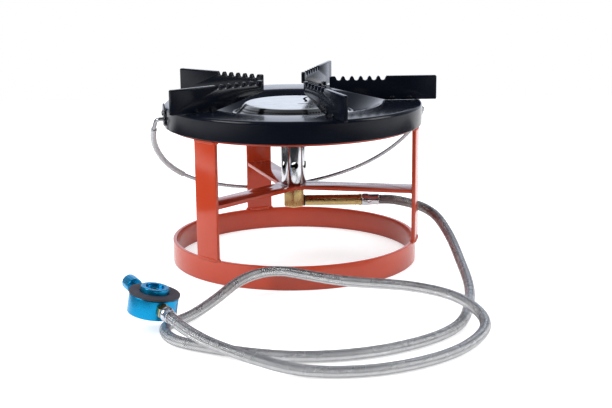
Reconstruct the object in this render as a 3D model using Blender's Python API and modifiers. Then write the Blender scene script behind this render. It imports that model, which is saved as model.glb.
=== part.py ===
"""Low outdoor gas cooking burner: an orange welded stand, a black drip pan with five notched
pot supports, a stainless burner head on an upright mixing tube, a brass elbow and inlet tube,
a braided hose with a round blue cylinder valve, and a wire carrying handle.

The origin is on the ground, on the axis of the stand. X is right, Y is back and Z is up.
Run it from Blender's text editor, or with blender --background --python part.py.
"""

import math

import bmesh
import bpy
import numpy as np
from mathutils import Matrix, Vector

MM = 0.001

# Gaps and fits
TOUCH = 0.3 * MM  # left between pieces that touch
WELD_GAP = 0.2 * MM  # left between pieces that are welded edge to edge
PIN_FIT = 0.5 * MM  # round a wire or a rivet in its hole

# Stand
BAR_THICK = 4.0 * MM
RING_RADIUS = 134.5 * MM
RING_HEIGHT = 25.0 * MM
UPPER_RING_HEIGHT = 24.0 * MM
LEG_WIDTH = 30.0 * MM
LEG_LENGTH = 123.5 * MM
LEGS = {  # where each leg stands, and how far its face stands out from the ring's
    "leg_right": (-12.0, 1.8 * MM),
    "leg_back": (108.4, 0.0),
    "leg_front_left": (228.0, 0.8 * MM),
}
RING_STEPS = 64

# Burner bracket: a three-armed plate welded between the legs
BRACKET_TOP = 83.0 * MM
BRACKET_THICK = 4.0 * MM
ARM_WIDTH = 29.0 * MM
ARM_FILLET = 16.0 * MM

# Drip pan
PAN_WALL = 1.5 * MM
PAN_CLEAR = 4.0 * MM  # between the upper ring and the skirt
PAN_SKIRT = 23.0 * MM
PAN_EDGE_ROUND = 3.5 * MM
WELL_SLOPE = 26.5 * MM  # how far the well's wall runs outward as it rises
WELL_LIP_ROUND = 4.0 * MM
WELL_ROOM = 4.0 * MM  # on the well's floor round the burner bowl
WELL_DEPTH = 23.0 * MM
PAN_STEPS = 64

# Pot supports
SUPPORT_COUNT = 5
SUPPORT_FIRST_ANGLE = 1.3
SUPPORT_THICK = 4.0 * MM
SUPPORT_HEIGHT = 26.1 * MM
SUPPORT_INNER = 40.0 * MM
SUPPORT_OUTER = 156.5 * MM
SUPPORT_TIP_HEIGHT = 12.0 * MM
SUPPORT_SET_BACK = 4.5 * MM  # from the well's lip to where the seat starts
NOTCH_COUNT = 6
NOTCH_FIRST = 50.0 * MM
NOTCH_PITCH = 9.6 * MM
NOTCH_RADIUS = 2.7 * MM
NOTCH_DEPTH = 4.6 * MM
NOTCH_FLARE = 0.9 * MM
SUPPORT_CORNER = 1.6 * MM
STUD_RADIUS = 2.3 * MM
STUD_PROUD = 1.5 * MM
STUD_PLACES = (108.0 * MM, 127.0 * MM)

# Burner head
TUBE_RADIUS = 13.75 * MM
TUBE_WALL = 1.5 * MM
TUBE_INSET = 0.8 * MM  # the tube's top below the bowl's floor
AIR_HOLE_COUNT = 6
AIR_HOLE_FIRST_ANGLE = -85.0
AIR_HOLE_RADIUS = 4.0 * MM
AIR_HOLE_HEIGHT = 22.0 * MM  # above the bracket
BOWL_RADIUS = 66.0 * MM
BOWL_WALL = 1.5 * MM
BOWL_COLLAR = 11.0 * MM
BOWL_RISE = 8.5 * MM
CAP_BAND = 14.0 * MM  # from the disc's edge to the bowl's
CAP_RISE = 9.9 * MM
CAP_WALL = 1.2 * MM
CAP_RIM = 3.0 * MM
PORT_ROWS = 2
PORTS_PER_ROW = 52
PORT_RADIUS = 1.2 * MM
SLOT_ANGLES = (-61.0, 11.0)  # where each curved slot starts
SLOT_WIDTH = 3.0 * MM
SLOT_INNER = 14.0 * MM
SLOT_OUTER = 42.0 * MM
SLOT_SWEEP = 56.0  # degrees turned by a slot, most of them near its start
SLOT_STEPS = 8

# Gas line on the stand
LINE_DROP = 15.2 * MM  # from the elbow's top to the gas line's axis
ELBOW_FLATS = 21.4 * MM
ELBOW_HEIGHT = 21.6 * MM
ELBOW_CHAMFER = 1.6 * MM
JET_RADIUS = 5.0 * MM
JET_HEX = 13.0 * MM
JET_TIP = 12.0 * MM
INLET_RADIUS = 5.9 * MM
INLET_LENGTH = 63.7 * MM
INLET_BORE = 3.2 * MM
INLET_FLANGE_RADIUS = 6.7 * MM
INLET_FLANGE = 3.0 * MM

# Hose and its end fittings
HOSE_DIAMETER = 10.4 * MM
HOSE_POINTS = 78
HOSE_BORE_RADIUS = 2.5 * MM
FERRULE_RADIUS = 6.3 * MM
FERRULE_BULB = 6.9 * MM
FERRULE_LENGTH = 19.1 * MM
VALVE_FERRULE_LENGTH = 13.0 * MM

# Cylinder valve: a round blue body that lies on the hose, leaning to the right
VALVE_PLACE = Vector((-132.5, -249.5, 15.8)) * MM
VALVE_LEAN = 9.5
VALVE_RADIUS = 23.0 * MM
VALVE_HEIGHT = 18.5 * MM
PORT_ANGLE = -61.0
PORT_DROP = 8.0 * MM  # from the body's top to the hose port's axis
GASKET_RADIUS = 23.8 * MM
GASKET_THICK = 2.5 * MM
BOSS_RADIUS = 13.2 * MM
BOSS_PROUD = 4.5 * MM
BOSS_RECESS_RADIUS = 8.6 * MM
BOSS_RECESS = 2.4 * MM
BOSS_HOLE_RADIUS = 3.3 * MM
VALVE_PIN_RADIUS = 1.5 * MM
NUT_FLATS = 13.0 * MM
NUT_LENGTH = 5.5 * MM
STEM_RADIUS = 3.2 * MM
KNOB_RADIUS = 7.6 * MM
KNOB_LENGTH = 15.0 * MM
KNOB_REACH = 44.0 * MM  # from the valve's axis to the knob's inner face
KNOB_FLUTES = 14

# Wire carrying handle, which leans on the back leg
HANDLE_ANGLE = 12.7  # where the right-hand eyelet is
HANDLE_DROP = 13.3 * MM  # from the pan's top to the pivots
HANDLE_REST = 1.15 * MM  # the wire's middle, clear of the ring's outside, as it leans on the leg
WIRE_RADIUS = 2.1 * MM
WIRE_INSIDE = 2.8 * MM  # how far the wire's end reaches in past the skirt
WIRE_BOW = 9.6 * MM  # how far the wire's sides stand out from the skirt
WIRE_BEND = 5.0 * MM
HANDLE_OUTLINE = (  # one half, as shares of its half width and of its reach
    (1.005, 0.158),
    (0.985, 0.305),
    (0.926, 0.469),
    (0.825, 0.633),
    (0.662, 0.791),
    (0.441, 0.912),
    (0.214, 0.979),
)
HANDLE_BEYOND = 37.0 * MM  # how much further than the pan's edge the handle reaches
WIRE_POINTS = 20  # on each half
SLEEVE_RADIUS = 3.3 * MM
SLEEVE_CLEAR = 0.35 * MM
SLEEVE_FROM = 20.0 * MM
SLEEVE_TO = 132.0 * MM
TAB_WIDTH = 14.0 * MM
TAB_THICK = 1.5 * MM
TAB_BELOW = 7.0 * MM
TAB_ABOVE = 17.0 * MM
RIVET_ABOVE = 6.6 * MM
RIVET_RADIUS = 2.0 * MM
RIVET_HEAD = 3.6 * MM
RIVET_HEAD_PROUD = 1.6 * MM
RIVET_CLENCH = 2.8 * MM  # radius of the hammered end inside the skirt

# The hose's way from the burner to the valve, in millimetres: behind the right leg, down to the
# ground, left along the front, under the valve, up in a long low hump against the base ring,
# over itself on the right, and back along the front to the valve
HOSE_ROUTE = (
    (99.0, 0.0, 63.5),
    (104.5, 0.0, 63.4),
    (114.0, 0.0, 62.2),
    (131.0, 0.0, 58.2),
    (143.0, -4.0, 54.6),
    (154.0, -13.5, 49.2),
    (162.0, -32.0, 41.5),
    (168.5, -62.0, 31.0),
    (172.0, -98.0, 20.8),
    (174.5, -135.0, 11.5),
    (172.5, -172.0, 6.6),
    (166.5, -206.0, 5.4),
    (154.5, -252.0, 5.4),
    (129.0, -292.0, 5.4),
    (82.0, -326.0, 5.4),
    (35.0, -341.0, 5.4),
    (-10.0, -341.0, 5.4),
    (-52.0, -328.0, 5.4),
    (-84.0, -313.0, 5.4),
    (-105.5, -298.0, 5.4),
    (-116.5, -279.0, 5.4),
    (-118.0, -257.0, 5.4),
    (-109.0, -242.5, 5.4),
    (-98.9, -230.6, 6.2),
    (-88.2, -215.9, 8.5),
    (-71.0, -187.1, 13.5),
    (-55.5, -161.4, 18.5),
    (-34.9, -146.8, 22.4),
    (-14.9, -144.0, 23.6),
    (5.1, -150.4, 22.6),
    (34.7, -164.0, 20.8),
    (69.7, -174.4, 19.6),
    (104.7, -182.5, 19.0),
    (139.1, -203.4, 18.4),
    (159.8, -234.9, 18.1),
    (170.6, -261.0, 14.0),
    (171.2, -281.4, 10.0),
    (161.6, -303.0, 7.0),
    (134.9, -337.0, 5.4),
    (88.1, -368.5, 5.4),
    (45.4, -379.4, 5.4),
    (3.3, -376.8, 6.4),
    (-25.8, -365.5, 9.5),
    (-52.1, -351.3, 13.5),
    (-76.0, -333.6, 17.0),
    (-92.0, -316.4, 19.8),
)

# Worked out from the sizes above
RING_INNER = RING_RADIUS - BAR_THICK
LEG_BOTTOM = RING_HEIGHT
LEG_TOP = LEG_BOTTOM + LEG_LENGTH
UPPER_RING_TOP = LEG_TOP + UPPER_RING_HEIGHT
PAN_RADIUS = RING_RADIUS + PAN_CLEAR + PAN_WALL
PAN_TOP = UPPER_RING_TOP + TOUCH + PAN_WALL
PAN_FLOOR = PAN_TOP - WELL_DEPTH
WELL_FLOOR_RADIUS = BOWL_RADIUS + WELL_ROOM
WELL_RADIUS = WELL_FLOOR_RADIUS + WELL_SLOPE
SUPPORT_BOTTOM = PAN_TOP + TOUCH
SUPPORT_SEAT_START = WELL_RADIUS + SUPPORT_SET_BACK
BRACKET_BOTTOM = BRACKET_TOP - BRACKET_THICK
BOWL_FLOOR = PAN_FLOOR + TOUCH
BOWL_TOP = BOWL_FLOOR + BOWL_WALL + BOWL_RISE
TUBE_BOTTOM = BRACKET_TOP + TOUCH
TUBE_TOP = BOWL_FLOOR + BOWL_WALL - TUBE_INSET
CAP_BOTTOM = BOWL_TOP + TOUCH
CAP_TOP = CAP_BOTTOM + CAP_RISE + CAP_WALL
CAP_DISC_RADIUS = BOWL_RADIUS - CAP_BAND
COLLAR_INNER = TUBE_RADIUS + TOUCH
COLLAR_OUTER = COLLAR_INNER + BOWL_WALL
ELBOW_TOP = BRACKET_BOTTOM - TOUCH
LINE_HEIGHT = ELBOW_TOP - LINE_DROP
INLET_START = ELBOW_FLATS / 2 + TOUCH
INLET_END = INLET_START + INLET_LENGTH
FERRULE_START = INLET_END + TOUCH
HOSE_START = FERRULE_START + FERRULE_LENGTH + TOUCH
PORT_HEIGHT = VALVE_HEIGHT - PORT_DROP
GASKET_BOTTOM = VALVE_HEIGHT + TOUCH
GASKET_TOP = GASKET_BOTTOM + GASKET_THICK
BOSS_TOP = GASKET_TOP + BOSS_PROUD
NUT_START = VALVE_RADIUS + TOUCH
VALVE_FERRULE_START = NUT_START + NUT_LENGTH + TOUCH
HOSE_END = VALVE_FERRULE_START + VALVE_FERRULE_LENGTH + TOUCH
HANDLE_HEIGHT = PAN_TOP - HANDLE_DROP
HANDLE_REACH = PAN_RADIUS + HANDLE_BEYOND
HANDLE_LEAN = math.degrees(math.acos((RING_RADIUS + WIRE_RADIUS + HANDLE_REST) / HANDLE_REACH))


def clear_scene():
    for old in list(bpy.data.objects):
        bpy.data.objects.remove(old, do_unlink=True)


def new_collection(name, hidden=False):
    made = bpy.data.collections.new(name)
    bpy.context.scene.collection.children.link(made)
    made.hide_render = hidden
    return made


clear_scene()
PARTS = new_collection("outdoor_gas_burner")
CUTTERS = new_collection("cutters", hidden=True)


# Materials


def material(name, color, roughness, metallic):
    made = bpy.data.materials.new(name)
    made.use_nodes = True
    shader = made.node_tree.nodes["Principled BSDF"]
    shader.inputs["Base Color"].default_value = (*color, 1.0)
    shader.inputs["Roughness"].default_value = roughness
    shader.inputs["Metallic"].default_value = metallic
    made.diffuse_color = (*color, 1.0)
    return made


ORANGE = material("orange_paint", (0.56, 0.075, 0.03), 0.35, 0.0)
BLACK = material("black_enamel", (0.012, 0.012, 0.016), 0.32, 0.0)
STAINLESS = material("polished_stainless", (0.74, 0.75, 0.77), 0.18, 1.0)
BRASS = material("brass", (0.55, 0.40, 0.17), 0.3, 1.0)
STEEL = material("plated_steel", (0.62, 0.63, 0.65), 0.28, 1.0)
BRAID = material("steel_braid", (0.52, 0.53, 0.55), 0.4, 1.0)
BLUE = material("blue_anodised", (0.02, 0.29, 0.52), 0.3, 0.8)
RUBBER = material("black_rubber", (0.045, 0.043, 0.05), 0.7, 0.0)
CLEAR_VINYL = material("clear_vinyl", (0.72, 0.74, 0.77), 0.35, 0.0)


# Shapes


def place(obj, collection, finish=None, at=(0, 0, 0), turn=(0, 0, 0), parent=None):
    collection.objects.link(obj)
    obj.location = at
    obj.rotation_euler = turn
    obj.parent = parent
    if finish:
        obj.data.materials.append(finish)
    if collection is CUTTERS:
        obj.display_type = "WIRE"
        obj.hide_render = True
    return obj


def turned(name, profile, finish, steps=32, closed=True, **where):
    """A revolved solid. The profile is (radius, height) pairs that run down the outside; a closed
    one is the section of a ring, and an open one starts and ends on the axis."""
    mesh = bpy.data.meshes.new(name)
    count = len(profile)
    edges = [(i, i + 1) for i in range(count - 1)]
    if closed:
        edges.append((count - 1, 0))
    mesh.from_pydata([(r, 0.0, z) for r, z in profile], edges, [])
    obj = place(bpy.data.objects.new(name, mesh), PARTS, finish, **where)
    screw = obj.modifiers.new("turn", "SCREW")
    screw.axis = "Z"
    screw.angle = math.tau
    screw.steps = steps
    screw.render_steps = steps
    screw.use_merge_vertices = True
    screw.merge_threshold = 0.00001
    screw.use_smooth_shade = False
    return obj


def plate(name, outlines, thick, finish, **where):
    """A flat piece cut from sheet: outlines lie in its own XY plane, centred on its thickness."""
    curve = bpy.data.curves.new(name, "CURVE")
    curve.dimensions = "2D"
    curve.fill_mode = "BOTH"
    curve.extrude = thick / 2
    for outline in outlines:
        spline = curve.splines.new("POLY")
        spline.points.add(len(outline) - 1)
        for point, (x, y) in zip(spline.points, outline):
            point.co = (x, y, 0.0, 1.0)
        spline.use_cyclic_u = True
    as_curve = bpy.data.objects.new(name + "_outline", curve)
    bpy.context.scene.collection.objects.link(as_curve)
    bpy.context.view_layer.update()
    graph = bpy.context.evaluated_depsgraph_get()
    mesh = bpy.data.meshes.new_from_object(as_curve.evaluated_get(graph))
    bpy.data.objects.remove(as_curve)
    weld_points(mesh)
    mesh.name = name
    return place(bpy.data.objects.new(name, mesh), PARTS, finish, **where)


def weld_points(mesh):
    work = bmesh.new()
    work.from_mesh(mesh)
    bmesh.ops.remove_doubles(work, verts=work.verts, dist=0.000005)
    bmesh.ops.recalc_face_normals(work, faces=work.faces)
    work.to_mesh(mesh)
    work.free()


def rod(name, points, radius, finish, sides=2, **where):
    """A round wire or hose through the points, with closed ends."""
    curve = bpy.data.curves.new(name, "CURVE")
    curve.dimensions = "3D"
    curve.bevel_depth = radius
    curve.bevel_resolution = sides
    curve.use_fill_caps = True
    spline = curve.splines.new("POLY")
    spline.points.add(len(points) - 1)
    for point, place_at in zip(spline.points, points):
        point.co = (*place_at, 1.0)
    return place(bpy.data.objects.new(name, curve), PARTS, finish, **where)


def mesh_of(obj):
    """The same object as a plain mesh, so that a Boolean can use it."""
    graph = bpy.context.evaluated_depsgraph_get()
    mesh = bpy.data.meshes.new_from_object(obj.evaluated_get(graph))
    weld_points(mesh)
    made = bpy.data.objects.new(obj.name, mesh)
    made.matrix_world = obj.matrix_world.copy()
    return made


def cylinder(work, radius, length, matrix, sides=16):
    bmesh.ops.create_cone(
        work,
        cap_ends=True,
        segments=sides,
        radius1=radius,
        radius2=radius,
        depth=length,
        matrix=matrix,
    )


def cutter_from(name, build):
    """One hidden mesh that holds every cutting body that build adds to it."""
    work = bmesh.new()
    build(work)
    mesh = bpy.data.meshes.new(name)
    work.to_mesh(mesh)
    work.free()
    return place(bpy.data.objects.new(name, mesh), CUTTERS)


def combine(obj, other, operation="DIFFERENCE"):
    modifier = obj.modifiers.new(operation.lower(), "BOOLEAN")
    modifier.operation = operation
    modifier.solver = "EXACT"
    modifier.object = other
    return obj


def bevelled_box(name, size, bevel, finish, **where):
    work = bmesh.new()
    bmesh.ops.create_cube(work, size=1.0, matrix=Matrix.Diagonal((*size, 1.0)))
    mesh = bpy.data.meshes.new(name)
    work.to_mesh(mesh)
    work.free()
    obj = place(bpy.data.objects.new(name, mesh), PARTS, finish, **where)
    edge = obj.modifiers.new("edges", "BEVEL")
    edge.width = bevel
    edge.segments = 1
    return obj


def arc(center, radius, start, end, steps):
    """Points on an arc, in degrees."""
    angles = np.radians(np.linspace(start, end, steps + 1))
    return [(center[0] + radius * math.cos(a), center[1] + radius * math.sin(a)) for a in angles]


def on_circle(radius, degrees, height=0.0):
    angle = math.radians(degrees)
    return Vector((radius * math.cos(angle), radius * math.sin(angle), height))


def smooth_through(route, count):
    """count points, evenly spaced, on the natural cubic spline through the route's points."""
    route = np.array(route, float)
    steps = np.sqrt(np.linalg.norm(np.diff(route, axis=0), axis=1))
    knots = np.concatenate([[0.0], np.cumsum(steps)])
    total = len(route)
    matrix = np.eye(total)
    right = np.zeros((total, 3))
    for i in range(1, total - 1):
        before, after = steps[i - 1], steps[i]
        matrix[i, i - 1 : i + 2] = before, 2 * (before + after), after
        right[i] = 6 * ((route[i + 1] - route[i]) / after - (route[i] - route[i - 1]) / before)
    curves = np.linalg.solve(matrix, right)
    at = np.linspace(0.0, knots[-1], 4000)
    i = np.clip(np.searchsorted(knots, at) - 1, 0, total - 2)
    step = steps[i][:, None]
    left = (knots[i + 1] - at)[:, None]
    past = (at - knots[i])[:, None]
    fine = (
        curves[i] * left**3 / (6 * step)
        + curves[i + 1] * past**3 / (6 * step)
        + (route[i] / step - curves[i] * step / 6) * left
        + (route[i + 1] / step - curves[i + 1] * step / 6) * past
    )
    along = np.concatenate([[0.0], np.cumsum(np.linalg.norm(np.diff(fine, axis=0), axis=1))])
    even = np.linspace(0.0, along[-1], count)
    points = np.stack([np.interp(even, along, fine[:, k]) for k in range(3)], axis=1)
    return points, along[-1]


ALONG_X = (0.0, math.radians(90.0), 0.0)  # turns a solid's own Z to +X


# Stand: two rings of flat bar, joined by three upright bars


def flat_ring(name, bottom, top):
    edge = 0.6 * MM
    profile = [
        (RING_INNER + edge, top),
        (RING_RADIUS - edge, top),
        (RING_RADIUS, top - edge),
        (RING_RADIUS, bottom + edge),
        (RING_RADIUS - edge, bottom),
        (RING_INNER + edge, bottom),
        (RING_INNER, bottom + edge),
        (RING_INNER, top - edge),
    ]
    return turned(name, profile, ORANGE, RING_STEPS)


def build_stand():
    flat_ring("base_ring", 0.0, RING_HEIGHT)
    flat_ring("upper_ring", LEG_TOP, UPPER_RING_TOP)
    size = (BAR_THICK, LEG_WIDTH, LEG_LENGTH - 2 * WELD_GAP)
    for name, (angle, proud) in LEGS.items():
        away = RING_RADIUS - BAR_THICK / 2 + proud
        middle = on_circle(away, angle, (LEG_BOTTOM + LEG_TOP) / 2)
        bevelled_box(name, size, 0.5 * MM, ORANGE, at=middle, turn=(0, 0, math.radians(angle)))


# Burner bracket: arms that run out to the legs from a hub, with filleted inside corners


def build_bracket():
    outline = []
    arms = sorted(LEGS.values())
    half = ARM_WIDTH / 2
    for i, (angle, proud) in enumerate(arms):
        reach = RING_INNER + proud - WELD_GAP
        for side in (-half, half):
            corner = Matrix.Rotation(math.radians(angle), 2) @ Vector((reach, side))
            outline.append(tuple(corner))
        following = arms[(i + 1) % len(arms)][0]
        gap = (following - angle) % 360.0
        bisector = angle + gap / 2
        middle = on_circle((half + ARM_FILLET) / math.sin(math.radians(gap / 2)), bisector)
        start = angle + 270.0
        outline += arc(middle[:2], ARM_FILLET, start, start - (180.0 - gap), 6)
    hole = arc((0.0, 0.0), JET_RADIUS + PIN_FIT, 0.0, 345.0, 23)
    height = BRACKET_TOP - BRACKET_THICK / 2
    plate("burner_bracket", [outline, hole], BRACKET_THICK, ORANGE, at=(0, 0, height))


# Drip pan: pressed sheet with a turned-down skirt and a well round the burner


def build_pan():
    outer, inner = PAN_RADIUS, PAN_RADIUS - PAN_WALL
    bottom = PAN_TOP - PAN_SKIRT
    rim = arc((outer - PAN_EDGE_ROUND, PAN_TOP - PAN_EDGE_ROUND), PAN_EDGE_ROUND, 90.0, 0.0, 4)
    inside_round = PAN_EDGE_ROUND - PAN_WALL
    rim_inside = arc((outer - PAN_EDGE_ROUND, PAN_TOP - PAN_EDGE_ROUND), inside_round, 0.0, 90.0, 2)
    slope = math.degrees(math.atan2(WELL_DEPTH, WELL_RADIUS - WELL_FLOOR_RADIUS))
    bend = (WELL_RADIUS + WELL_LIP_ROUND * math.tan(math.radians(slope / 2)), PAN_TOP - WELL_LIP_ROUND)
    lip = arc(bend, WELL_LIP_ROUND, 90.0 + slope, 90.0, 3)
    lip_under = arc(bend, WELL_LIP_ROUND - PAN_WALL, 90.0, 90.0 + slope, 2)
    drop = PAN_WALL / math.cos(math.radians(slope))
    hole = COLLAR_OUTER + TOUCH
    floor_inside = WELL_FLOOR_RADIUS + PAN_WALL * math.tan(math.radians(slope / 2))
    profile = [
        (hole, PAN_FLOOR),
        (WELL_FLOOR_RADIUS, PAN_FLOOR),
        *lip,
        *rim,
        (outer, bottom),
        (inner, bottom),
        *rim_inside,
        *lip_under,
        (floor_inside, PAN_FLOOR - PAN_WALL),
        (hole, PAN_FLOOR - PAN_WALL),
    ]
    pan = turned("drip_pan", profile, BLACK, PAN_STEPS)

    def holes(work):
        for side in (0.0, 180.0):
            toward = Matrix.Rotation(math.radians(HANDLE_ANGLE + side), 4, "Z")
            for height, radius in (
                (HANDLE_HEIGHT, WIRE_RADIUS + PIN_FIT),
                (HANDLE_HEIGHT + RIVET_ABOVE, RIVET_RADIUS + PIN_FIT),
            ):
                across = Matrix.Translation((PAN_RADIUS, 0, height)) @ Matrix.Rotation(
                    math.radians(90), 4, "Y"
                )
                cylinder(work, radius, 12 * MM, toward @ across, 12)

    combine(pan, cutter_from("skirt_holes", holes))


# Pot supports: five notched blades that stand on the pan


def support_outline():
    """Along the blade from the burner's axis, and up from its seat."""
    top, tip = SUPPORT_HEIGHT, SUPPORT_HEIGHT - SUPPORT_TIP_HEIGHT
    corner = SUPPORT_CORNER
    outline = [(SUPPORT_SEAT_START, 0.0), (SUPPORT_OUTER, 0.0)]
    outline += arc((SUPPORT_OUTER - corner, top - corner), corner, 0.0, 90.0, 3)
    for i in reversed(range(NOTCH_COUNT)):
        middle = NOTCH_FIRST + i * NOTCH_PITCH
        floor_centre = top - NOTCH_DEPTH + NOTCH_RADIUS
        outline.append((middle + NOTCH_RADIUS + NOTCH_FLARE, top))
        outline += arc((middle, floor_centre), NOTCH_RADIUS, 0.0, -180.0, 4)
        outline.append((middle - NOTCH_RADIUS - NOTCH_FLARE, top))
    outline += arc((SUPPORT_INNER + corner, top - corner), corner, 90.0, 180.0, 2)
    outline.append((SUPPORT_INNER, tip))
    return outline


def build_supports():
    outline = support_outline()
    upright = Matrix.Rotation(math.radians(90.0), 4, "X")
    for i in range(SUPPORT_COUNT):
        angle = SUPPORT_FIRST_ANGLE + i * 360.0 / SUPPORT_COUNT
        name = f"pot_support_{i + 1}"
        stand = Matrix.Rotation(math.radians(angle), 4, "Z") @ upright
        blade = plate(name, [outline], SUPPORT_THICK, BLACK)
        blade.matrix_world = Matrix.Translation((0, 0, SUPPORT_BOTTOM)) @ stand

        def studs(work, whole=blade.matrix_world.copy()):
            for along in STUD_PLACES:
                cylinder(
                    work,
                    STUD_RADIUS,
                    SUPPORT_THICK + 2 * STUD_PROUD,
                    whole @ Matrix.Translation((along, STUD_RADIUS + 0.1 * MM, 0)),
                    8,
                )

        combine(blade, cutter_from(name + "_studs", studs), "UNION")


# Burner head: mixing tube, dish and perforated cap


def build_mixing_tube():
    inner = TUBE_RADIUS - TUBE_WALL
    profile = [
        (inner, TUBE_TOP),
        (TUBE_RADIUS, TUBE_TOP),
        (TUBE_RADIUS, TUBE_BOTTOM),
        (inner, TUBE_BOTTOM),
    ]
    tube = turned("mixing_tube", profile, STAINLESS, 40)

    def air_holes(work):
        for i in range(AIR_HOLE_COUNT):
            angle = AIR_HOLE_FIRST_ANGLE + i * 360.0 / AIR_HOLE_COUNT
            across = Matrix.Translation((TUBE_RADIUS, 0, BRACKET_TOP + AIR_HOLE_HEIGHT))
            lying = across @ Matrix.Rotation(math.radians(90), 4, "Y")
            matrix = Matrix.Rotation(math.radians(angle), 4, "Z") @ lying
            cylinder(work, AIR_HOLE_RADIUS, 8 * MM, matrix, 16)

    combine(tube, cutter_from("air_holes", air_holes))


def build_bowl():
    """A pressed dish whose collar fits over the tube and hangs through the pan's hole."""
    floor_top = BOWL_FLOOR + BOWL_WALL
    knee = BOWL_RADIUS - 10 * MM
    profile = [
        (COLLAR_INNER, floor_top),
        (knee, floor_top),
        (BOWL_RADIUS - BOWL_WALL, BOWL_TOP - 2 * MM),
        (BOWL_RADIUS - BOWL_WALL, BOWL_TOP),
        (BOWL_RADIUS, BOWL_TOP),
        (BOWL_RADIUS, BOWL_TOP - 2.4 * MM),
        (knee + 0.7 * MM, BOWL_FLOOR),
        (COLLAR_OUTER, BOWL_FLOOR),
        (COLLAR_OUTER, floor_top - BOWL_COLLAR),
        (COLLAR_INNER, floor_top - BOWL_COLLAR),
    ]
    turned("burner_bowl", profile, STAINLESS, 48)


def build_cap():
    """Flat disc with curved slots, and a sloping band with rows of flame ports."""
    outer = BOWL_RADIUS - 0.4 * MM
    foot = outer - CAP_RIM
    slope = math.atan2(CAP_RISE, foot - CAP_DISC_RADIUS)
    shift = CAP_WALL * math.tan(slope / 2)
    low, high = CAP_BOTTOM, CAP_TOP
    profile = [
        (0.0, high),
        (CAP_DISC_RADIUS, high),
        (foot, low + CAP_WALL),
        (outer, low + CAP_WALL),
        (outer, low),
        (foot - shift, low),
        (CAP_DISC_RADIUS - shift, high - CAP_WALL),
        (0.0, high - CAP_WALL),
    ]
    cap = turned("burner_cap", profile, STAINLESS, 48, closed=False)

    def ports(work):
        for row in range(PORT_ROWS):
            share = (row + 1) / (PORT_ROWS + 1)
            radius = CAP_DISC_RADIUS + share * (foot - CAP_DISC_RADIUS) - shift / 2
            height = high - share * (high - low - CAP_WALL) - CAP_WALL / 2
            for i in range(PORTS_PER_ROW):
                angle = (i + 0.5 * (row % 2)) * math.tau / PORTS_PER_ROW
                matrix = (
                    Matrix.Rotation(angle, 4, "Z")
                    @ Matrix.Translation((radius, 0, height))
                    @ Matrix.Rotation(math.pi / 2 - slope, 4, "Y")
                )
                cylinder(work, PORT_RADIUS, 5 * MM, matrix, 4)

    combine(cap, cutter_from("flame_ports", ports))

    def slots(work):
        for angle in SLOT_ANGLES:
            cut_slot(work, angle)

    combine(cap, cutter_from("flame_slots", slots))


def cut_slot(work, angle):
    """One curved slot that turns, then runs straight outward, swept as a chain of short steps."""

    def on_slot(share):
        turned_by = SLOT_SWEEP * (1.0 - (1.0 - share) ** 4)
        return on_circle(SLOT_INNER + share * (SLOT_OUTER - SLOT_INNER), angle + turned_by)

    sides = []
    for k in range(SLOT_STEPS + 1):
        share = (k / SLOT_STEPS) ** 1.5
        middle = on_slot(share)
        ahead = on_slot(share + 0.01) - middle
        across = ahead.cross(Vector((0, 0, 1))).normalized() * SLOT_WIDTH / 2
        sides.append((middle - across, middle + across))
    ring = [left for left, _ in sides] + [right for _, right in reversed(sides)]
    depth = 4 * MM
    corners = [work.verts.new((x, y, CAP_TOP - depth)) for x, y, _ in ring]
    face = work.faces.new(corners)
    raised = bmesh.ops.extrude_face_region(work, geom=[face])["geom"]
    top = [v for v in raised if isinstance(v, bmesh.types.BMVert)]
    bmesh.ops.translate(work, verts=top, vec=(0, 0, 2 * depth))
    bmesh.ops.recalc_face_normals(work, faces=work.faces)


# Gas line on the stand: elbow, jet and inlet tube


def build_elbow():
    corner = ELBOW_FLATS / 2 / math.cos(math.radians(30.0))
    bottom = ELBOW_TOP - ELBOW_HEIGHT
    profile = [
        (0.0, ELBOW_TOP),
        (corner, ELBOW_TOP),
        (corner, bottom + ELBOW_CHAMFER),
        (corner - 1.6 * ELBOW_CHAMFER, bottom),
        (0.0, bottom),
    ]
    turned("brass_elbow", profile, BRASS, 6, closed=False, turn=(0, 0, math.radians(30.0)))


def build_jet():
    """The threaded jet that clamps the bracket and blows up the mixing tube."""
    corner = JET_HEX / 2 / math.cos(math.radians(30.0))
    hex_bottom = BRACKET_TOP + TOUCH
    hex_top = hex_bottom + 4.5 * MM
    profile = [
        (0.0, hex_top + JET_TIP),
        (1.6 * MM, hex_top + JET_TIP),
        (3.4 * MM, hex_top + JET_TIP - 3 * MM),
        (4.0 * MM, hex_top),
        (corner, hex_top),
        (corner, hex_bottom),
        (JET_RADIUS, hex_bottom),
        (JET_RADIUS, ELBOW_TOP + TOUCH),
        (0.0, ELBOW_TOP + TOUCH),
    ]
    turned("gas_jet", profile, BRASS, 12, closed=False)


def build_inlet():
    length = INLET_LENGTH
    end = length - INLET_FLANGE
    profile = [
        (INLET_BORE, length),
        (INLET_FLANGE_RADIUS - 0.5 * MM, length),
        (INLET_FLANGE_RADIUS, length - 0.5 * MM),
        (INLET_FLANGE_RADIUS, end),
        (INLET_RADIUS, end),
        (INLET_RADIUS, 1.6 * MM),
        (INLET_RADIUS - 0.9 * MM, 1.6 * MM),
        (INLET_RADIUS - 0.9 * MM, 0.0),
        (INLET_BORE, 0.0),
    ]
    where = (INLET_START, 0, LINE_HEIGHT)
    turned("brass_inlet_tube", profile, BRASS, 24, at=where, turn=ALONG_X)


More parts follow.
